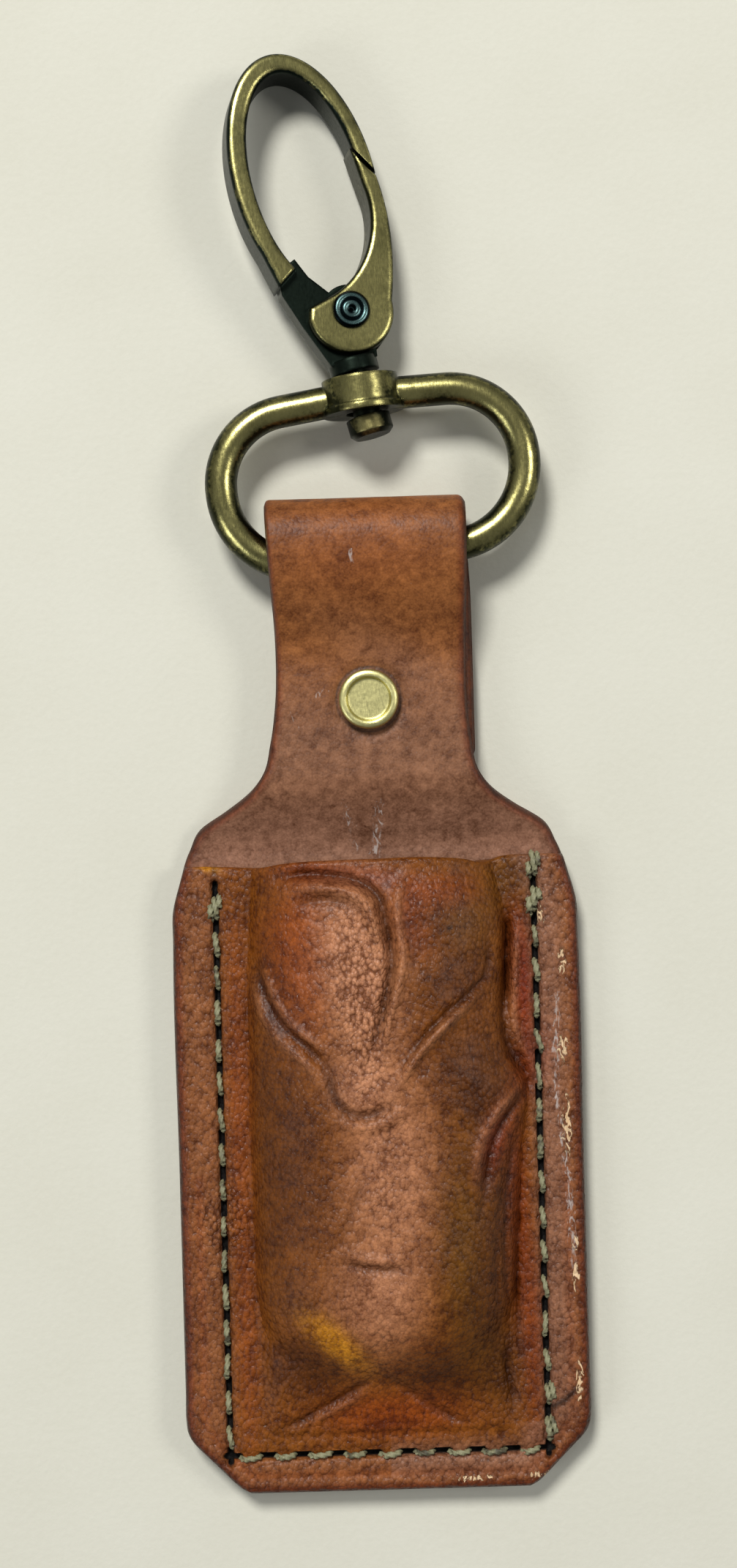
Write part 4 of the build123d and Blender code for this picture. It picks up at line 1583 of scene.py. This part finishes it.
        # Columns crowd towards the stitch lines and the edge, rows towards both ends.
        u = u + 0.035 * np.sin(u * math.pi) - 0.02 * np.sin(2 * u * math.pi)
        v = v - 0.03 * np.sin(2 * v * math.pi)
        y = p.bottom + v * (p.mouth - p.bottom)
        x = np.where(u > 0, u * p.right_edge(y), u * p.left_edge(y))
        y = y + (self.mouth_line(x) - p.mouth) * smooth(26, p.mouth, y)
        rim = self.rim_distance(x, y)
        body = self.height(x, y)
        relief, groove, ridge = self.relief(x, y)
        on_bulge = smooth(0.3, 2.2, body)
        ripple = 0.16 * leather_noise(x, y, 2.6, 1) + 0.07 * leather_noise(x, y, 1.2, 2)
        ripple = ripple + 0.35 * leather_noise(x, y, 8.0, 4)
        pit = self.pits(x, y)
        channel = bell(np.abs(x) - p.stitch_x, 0.8) * (y > p.stitch_y - 1)
        channel = np.maximum(channel, bell(y - p.stitch_y, 0.8) * (np.abs(x) < p.stitch_x))
        z = body + relief + ripple * (0.22 + 0.65 * on_bulge)
        z = z + 0.12 * self.PEBBLED.cover(x, y) * leather_noise(x, y, 0.75, 9)
        z = z - 0.28 * channel - 1.1 * pit
        z = z - 0.14 * bell(rim - 2.1, 0.4) * (y < p.mouth - 2)
        lip = np.maximum(self.mouth_line(x) - y, 0)
        z = z - self.edge_radius * (1 - bullnose(rim, self.edge_radius))
        z = z - 0.45 * (1 - bullnose(lip, self.lip_radius))
        upper = np.stack([x, y, z + p.back + p.front], axis=1)
        upper[:, 2] = np.minimum(upper[:, 2], p.crown)
        lower = self.inner_side(x, y, body)
        self.paint(piece, x, y, rim, groove, ridge, on_bulge, pit)
        apply_modifier(piece, "SOLIDIFY", thickness=0.1, offset=-1.0)
        write_places(piece, np.concatenate([upper, lower]) * MM)
        settle(piece, 60)
        wear(piece, self.finish)
        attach(piece, "holster")
        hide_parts("pocket_front")
        return piece

    def inner_side(self, x: np.ndarray, y: np.ndarray, body: np.ndarray) -> np.ndarray:
        """Flesh side of the leather, one thickness inside its smooth outer form.

        Args:
            x: Places across the pouch.
            y: Places along it.
            body: Height of the smooth form at each place.

        Returns:
            Places of the flesh side, one in each row.
        """
        p = self.pattern
        step = 0.05
        slope_x = (self.height(x + step, y) - self.height(x - step, y)) / (2 * step)
        slope_y = (self.height(x, y + step) - self.height(x, y - step)) / (2 * step)
        slope_y = slope_y * (y < p.mouth - 1)
        length = np.sqrt(1 + slope_x**2 + slope_y**2)
        deep = (p.front - 0.02) / length
        z = body + p.back + p.front - deep
        inner = np.stack([x + slope_x * deep * 0.9, y + slope_y * deep * 0.9, z], axis=1)
        inner[:, 2] = np.maximum(inner[:, 2], p.back + 0.01)
        return inner

    def rim_distance(self, x: np.ndarray, y: np.ndarray) -> np.ndarray:
        """Rough distance in from the pouch's outline.

        Args:
            x: Places across the pouch.
            y: Places along it.

        Returns:
            The distances.
        """
        p = self.pattern
        side = np.where(x > 0, p.right_edge(y), p.left_edge(y)) - np.abs(x)
        return np.minimum(side * np.where(y < p.bottom + 8, 0.75, 1.0), y - p.bottom)

    def paint(
        self, piece: bpy.types.Object, x: np.ndarray, y: np.ndarray, rim: np.ndarray,
        groove: np.ndarray, ridge: np.ndarray, on_bulge: np.ndarray, pit: np.ndarray,
    ) -> None:
        """Dyes the sheet, paints light on its ridges and crest and shade in its grooves, and sets
        its grain, chips and holes.

        Args:
            piece: The flat sheet.
            x: Places across the pouch.
            y: Places along it.
            rim: Distance in from the outline.
            groove: How far each place lies in a groove.
            ridge: How far it lies on a ridge.
            on_bulge: How far it lies on the bulge.
            pit: How far it lies in an awl hole.
        """
        p = self.pattern
        canvas = Canvas(x, y, Tint.BORDER)
        inside = smooth(0.9, -0.9, np.abs(x) - p.stitch_x + 0.6)
        canvas.dye(Tint.TAN, inside * smooth(-1.2, 1.2, y - p.stitch_y))
        # The patches hold dyes and the painted highlight down the middle.
        for patch in self.DYES_AND_SHEEN:
            canvas.patch(patch)
        # Ridges take a paler colour, partly burnish wear and partly painted highlight.
        canvas.dye(Tint.CLAY, ridge * 0.5)
        # Painted shade darkens the grooves.
        canvas.dye(Tint.GROOVE_SHADE, groove * 0.7)
        canvas.dye(Tint.EDGE, 1 - smooth(0.5, 1.7, rim))
        canvas.dye(Tint.BLACK, (1 - smooth(0.1, 0.7, rim)) * 0.7)
        canvas.dye(Tint.RUST, bell(rim - 2.3, 0.6) * 0.35 * (y < 0))
        canvas.dye(Tint.PLUM, smooth(3.0, 0.5, np.abs(rim - 4.0)) * (x > 0) * 0.45)
        canvas.dye(Tint.BLACK, bell(np.abs(x) - p.stitch_x, 0.5) * 0.45 * (y > p.stitch_y))
        canvas.mark("slit", pit)
        canvas.dye(Tint.BLACK, bell(np.hypot(x - 8.6, y - 28.6), 0.28))
        canvas.dye(Tint.BLACK, bell(stroke_distance(x, y, self.SCAR)[0], 0.42) * 0.85)
        column = Patch((-1.6, 21.0), (3.8, 13.0), 2, None, 1.0).cover(x, y)
        lower = Patch((0.5, 1.0), (5.0, 12.0), 0, None, 0.5).cover(x, y)
        border = 0.42 - 0.1 * on_bulge
        grains = [column, lower, self.PEBBLED.cover(x, y), border]
        canvas.mark("pebble", np.maximum.reduce(grains))
        canvas.mark("scuff_and_sheen", 0.85 * bell(stroke_distance(x, y, self.STREAKS)[0], 0.7))
        for centre, reach in self.CHIPS:
            canvas.mark("chip", Patch(centre, reach, 0, None, 0.86).cover(x, y))
        # A painted highlight along the upper fold's crest, laid in the mask of the scuffs, which
        # turns it pale.
        shine = Patch((-2.6, 32.6), (2.6, 0.7), -10, None, 0.35).cover(x, y)
        canvas.mark("scuff_and_sheen", np.maximum(shine, 0.32 * bell(rim - 1.7, 0.5) * (x > 0)))
        canvas.store(piece.data)


@dataclass
class Stitching:
    """Rows of twisted waxed thread, with back stitches at the side rows' ends.

    Attributes:
        pattern: Sizes of the cut leather.
        finish: The material.
        sides: Faces round a thread.
        rings: Cells along a stitch.
        plies: Strands twisted together.
        twist: How far they turn along a stitch, in radians.
        bend: Radius of the bend into a hole, in millimetres.
        drop: How deep each end goes into its hole.
        radius: Radius of the thread.
        arch: How far a stitch's middle stands up.
        hidden: How much of the pitch lies in the holes.
        over: Level of the thread's middle over the leather.
        random: The draws that make each stitch a little different.
    """

    pattern: Pattern
    finish: bpy.types.Material
    sides: int = 12
    rings: int = 30
    plies: int = 3
    twist: float = 8.0
    bend: float = 0.55
    drop: float = 0.9
    radius: float = 0.36
    arch: float = 0.10
    hidden: float = 1.9
    over: float = 0.12
    random: np.random.Generator = field(default_factory=lambda: np.random.default_rng(11))

    def strand(self, length: float, radius: float) -> bpy.types.Object:
        """One stitch along X: it leaves one hole, lies on the leather and enters the next.

        Args:
            length: From hole to hole, in millimetres.
            radius: Radius of the thread.

        Returns:
            A closed tube with three twisted plies.
        """
        clear_selection()
        bpy.ops.mesh.primitive_cylinder_add(vertices=self.sides, radius=1.0, depth=2.0)
        piece = bpy.context.active_object
        bpy.ops.object.mode_set(mode="EDIT")
        for number in range(1, self.rings):
            bpy.ops.mesh.select_all(action="SELECT")
            height = -1 + 2 * number / self.rings
            bpy.ops.mesh.bisect(plane_co=(0, 0, height), plane_no=(0, 0, 1))
        bpy.ops.object.mode_set(mode="OBJECT")
        places = read_places(piece)
        run = (places[:, 2] + 1) / 2
        angle = np.arctan2(places[:, 1], places[:, 0])
        size = radius * (0.82 + 0.24 * np.cos(self.plies * (angle - run * self.twist)))
        # The path is a flat line whose two ends turn down into the holes.
        bend, enters, leaves = self.bend, self.drop, self.drop + length
        total = length + 2 * self.drop
        s = run * total
        x = np.clip(s - enters, 0, length)
        z = np.where(s < enters, s - enters, np.where(s > leaves, leaves - s, 0.0))
        turned = smooth(enters - bend, enters + bend, s) + smooth(leaves - bend, leaves + bend, s)
        tilt = np.pi / 2 * (turned - 1)
        first, last = bell(s - enters, bend), bell(s - leaves, bend)
        x = x + bend * 0.30 * (first - last)
        z = z - bend * 0.25 * (first + last)
        z = z + self.arch * np.sin(np.clip((s - enters) / length, 0, 1) * np.pi)
        lift = size * np.sin(angle)
        side = np.where(s < total / 2, 1, -1)
        shaped = [x - length / 2 - np.sin(tilt) * lift * side, size * np.cos(angle)]
        shaped.append(z + np.cos(tilt) * lift)
        write_places(piece, np.stack(shaped, axis=1) * MM)
        return piece

    def row(self, name: str, node: str,
            starts: list[tuple[float, float, float, float]]) -> bpy.types.Object:
        """Lays stitches along a row and joins them.

        Args:
            name: The piece's name.
            node: The CAD node that it stands for.
            starts: Middle x and y, turn in degrees and length of each stitch.

        Returns:
            The joined row.
        """
        level = self.pattern.back + self.pattern.front + self.over
        made = []
        for x, y, turn, length in starts:
            wobble = self.random.normal(0, 1, 4)
            one = self.strand(length * (1 + 0.10 * wobble[0]), self.radius + 0.03 * wobble[3])
            spin = math.radians(turn + 4.0 + 5.0 * wobble[1])
            place = Vector((x + 0.06 * wobble[1], y + 0.1 * wobble[2], level)) * MM
            one.data.transform(Matrix.Translation(place) @ Matrix.Rotation(spin, 4, "Z"))
            made.append(one)
        clear_selection()
        for one in made:
            one.select_set(True)
        bpy.context.view_layer.objects.active = made[0]
        bpy.ops.object.join()
        piece = bpy.context.active_object
        piece.name = name
        piece.data.name = name
        settle(piece, 70)
        wear(piece, self.finish)
        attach(piece, "holster")
        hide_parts(node)
        return piece

    def build(self) -> list[bpy.types.Object]:
        """Makes the three rows.

        Returns:
            The left, right and bottom row.
        """
        p = self.pattern
        reach = p.pitch - self.hidden
        sides = [p.stitch_y + (n + 0.5) * p.pitch for n in range(p.side_stitches + 1)]
        slots = p.bottom_slots
        lows = (slots[:-1] + slots[1:]) / 2
        left = [(-p.stitch_x, y, 90, reach) for y in sides[:-1]]
        right = [(p.stitch_x, y, 90, reach) for y in sides]
        low = [(x, p.stitch_y, 0, reach) for x in lows]
        # Each side row ends in a back stitch, where a second thread lies beside the first.
        for aside, up in ((0.55, 0.5), (-0.5, -0.6)):
            left.append((-p.stitch_x + aside, sides[-2] + up, 90, 1.7))
        for end in sides[:-3:-1]:
            for aside, up in ((0.6, 0.4), (-0.55, -0.7)):
                right.append((p.stitch_x + aside, end + up, 90, 1.9))
        right.extend((p.stitch_x + 0.55, start + 0.3, 90, 2.0) for start in sides[:2])
        return [
            self.row("stitches_left", "stitching_left", left),
            self.row("stitches_right", "stitching_right", right),
            self.row("stitches_bottom", "stitching_bottom", low),
        ]


@dataclass(frozen=True)
class Hardware:
    """Metal of the frame, which keeps its CAD shape and gets its finish.

    Attributes:
        web_face: Level of the hook's web over the gate's pivot, in metres; below it the hook gets
            painted shade.
        head_face: Level of the pivot's outer head over its middle.
        neck_top: Level of the neck's top over the swivel, along its stem; below it the hook gets
            painted shade.
    """

    web_face: float = 0.0020
    head_face: float = 0.0028
    neck_top: float = 0.0052

    def finishes(self) -> dict[str, BrassFinish | SteelFinish]:
        """Chooses the metal finishes.

        Returns:
            The finish of each node.
        """
        hinge, swivel = joint("gate_hinge"), joint("hook_swivel")
        axis, stem = tuple(hinge["axis"]), tuple(swivel["axis"])
        web_level = Vector(axis).dot(Vector(hinge["pos_m"])) + self.web_face
        neck_level = Vector(stem).dot(Vector(swivel["pos_m"])) + self.neck_top
        # The hook gets painted shade below these levels: its web under the gate and its neck
        # under the palm.
        shaded_below = ((axis, web_level), (stem, neck_level))
        low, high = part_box("gate_pivot_rivet")
        head = (low + high) / 2 + Vector(axis) * self.head_face
        gold, patina = srgb(190, 182, 118), srgb(44, 46, 28)
        antique = BrassFinish("antique_brass", gold, patina, 0.44, 0.22)
        gate = BrassFinish("gate_brass", gold, patina, 0.48, 0.24, 0.9, 1.6, axis)
        hook = BrassFinish("hook_brass", gold, srgb(30, 38, 32), 0.48, 0.24, 0.9, 1.4, axis, shaded_below)
        dull = BrassFinish("aged_brass", srgb(168, 158, 104), srgb(30, 34, 26), 0.55, 0.28, 0.6)
        worn, stained = srgb(236, 228, 160), srgb(150, 140, 76)
        cap = BrassFinish("rivet_brass", worn, stained, 0.2, 0.36, 0.6, 0.5)
        ink = srgb(12, 20, 22)
        black = SteelFinish("blackened_steel", srgb(96, 124, 122), ink, 0.28, tuple(head))
        wire = SteelFinish("spring_steel", srgb(120, 122, 120), srgb(40, 42, 42), 0.3)
        return {
            "swivel_ring": antique,
            "hook_body": hook,
            "gate_lever": gate,
            "swivel_pin": dull,
            "rivet_cap": cap,
            "rivet_post": cap,
            "gate_pivot_rivet": black,
            "gate_spring": wire,
        }

    def dress(self) -> None:
        """Gives each metal node its material."""
        built = {}
        for node, finish in self.finishes().items():
            if finish.name not in built:
                built[finish.name] = finish.build()
            for slot in frame["nodes"][node].material_slots:
                slot.material = built[finish.name]
            LOG.info("dressed %s in %s", node, finish.name)


@dataclass(frozen=True)
class Studio:
    """Floor, lights and camera.

    Attributes:
        floor_size: Side of the floor, in metres.
        floor_drop: How far under the holster it lies.
        room_light: Strength of the light from all round.
        aim: What the lights point at, in metres.
        lamps: Name, place, size, power and colour of each light.
        sensor: Height of the camera's sensor, in millimetres.
        seen: Length that the camera sees.
        distance: Height of the camera over the place that it looks down on.
        over: That place.
        turn: The camera's turn, in degrees.
    """

    floor_size: float = 3.0
    floor_drop: float = 0.0001
    room_light: float = 0.20
    aim: tuple[float, float, float] = (0, 0.045, 0)
    lamps: tuple[tuple, ...] = (
        ("key", (-0.35, 0.95, 1.30), 0.45, 24.0, (1.0, 0.99, 0.965)),
        ("fill", (-1.0, -0.5, 0.9), 0.60, 3.5, (0.94, 0.97, 1.0)),
        ("side", (0.9, 0.2, 0.9), 0.40, 3.5, (1.0, 0.98, 0.95)),
    )
    sensor: float = 24.0
    seen: float = 184.298
    distance: float = 285.0
    over: tuple[float, float, float] = (-0.30, 45.54, 5.0)
    turn: float = -1.63

    def build(self) -> None:
        """Makes the floor, the lights and the camera."""
        self.floor()
        self.lights()
        self.camera()

    def floor(self) -> None:
        """Makes a plain pale surface just under the holster."""
        clear_selection()
        bpy.ops.mesh.primitive_plane_add(size=self.floor_size, location=(0, 0, -self.floor_drop))
        floor = bpy.context.active_object
        floor.name = "floor"
        wear(floor, FloorFinish().build())

    def lights(self) -> None:
        """Makes a broad key from the head end, a fill, a side light and a soft room."""
        world = bpy.data.worlds.new("room")
        bpy.context.scene.world = world
        bpy.context.scene.view_settings.view_transform = "Standard"
        world.use_nodes = True
        background = world.node_tree.nodes["Background"]
        background.inputs[0].default_value = (*srgb(236, 238, 240), 1.0)
        background.inputs[1].default_value = self.room_light
        for name, place, size, power, colour in self.lamps:
            data = bpy.data.lights.new(name, "AREA")
            data.shape = "DISK"
            data.size = size
            data.energy = power
            data.color = colour
            light = bpy.data.objects.new(name, data)
            bpy.context.scene.collection.objects.link(light)
            light.location = place
            aim = Vector(self.aim) - Vector(place)
            light.rotation_euler = aim.to_track_quat("-Z", "Y").to_euler()

    def camera(self) -> None:
        """Makes the camera."""
        data = bpy.data.cameras.new("camera")
        data.sensor_fit = "VERTICAL"
        data.sensor_height = self.sensor
        data.lens = self.sensor * self.distance / self.seen
        data.clip_start = 0.01
        camera = bpy.data.objects.new("camera", data)
        bpy.context.scene.collection.objects.link(camera)
        x, y, z = self.over
        camera.location = (x * MM, y * MM, (z + self.distance) * MM)
        camera.rotation_euler = (0, 0, math.radians(self.turn))
        bpy.context.scene.camera = camera


def main() -> None:
    """Builds every piece and reports it."""
    logging.basicConfig(level=logging.INFO, format="%(message)s")
    pattern = Pattern()
    Studio().build()
    Hardware().dress()
    back = LeatherFinish("back_leather", 0.42, 0.07, 0.5, 0.0, 0.28)
    front = LeatherFinish("pocket_leather", 0.52, 0.15, 0.4, 0.05, 0.24)
    pieces = [BackPanel(pattern, back.build()).build()]
    pieces.append(PocketFront(pattern, front.build()).build())
    pieces.extend(Stitching(pattern, ThreadFinish().build()).build())
    for piece in pieces:
        LOG.info("made %s with %d faces", piece.name, len(piece.data.polygons))


if __name__ == "__main__":
    main()
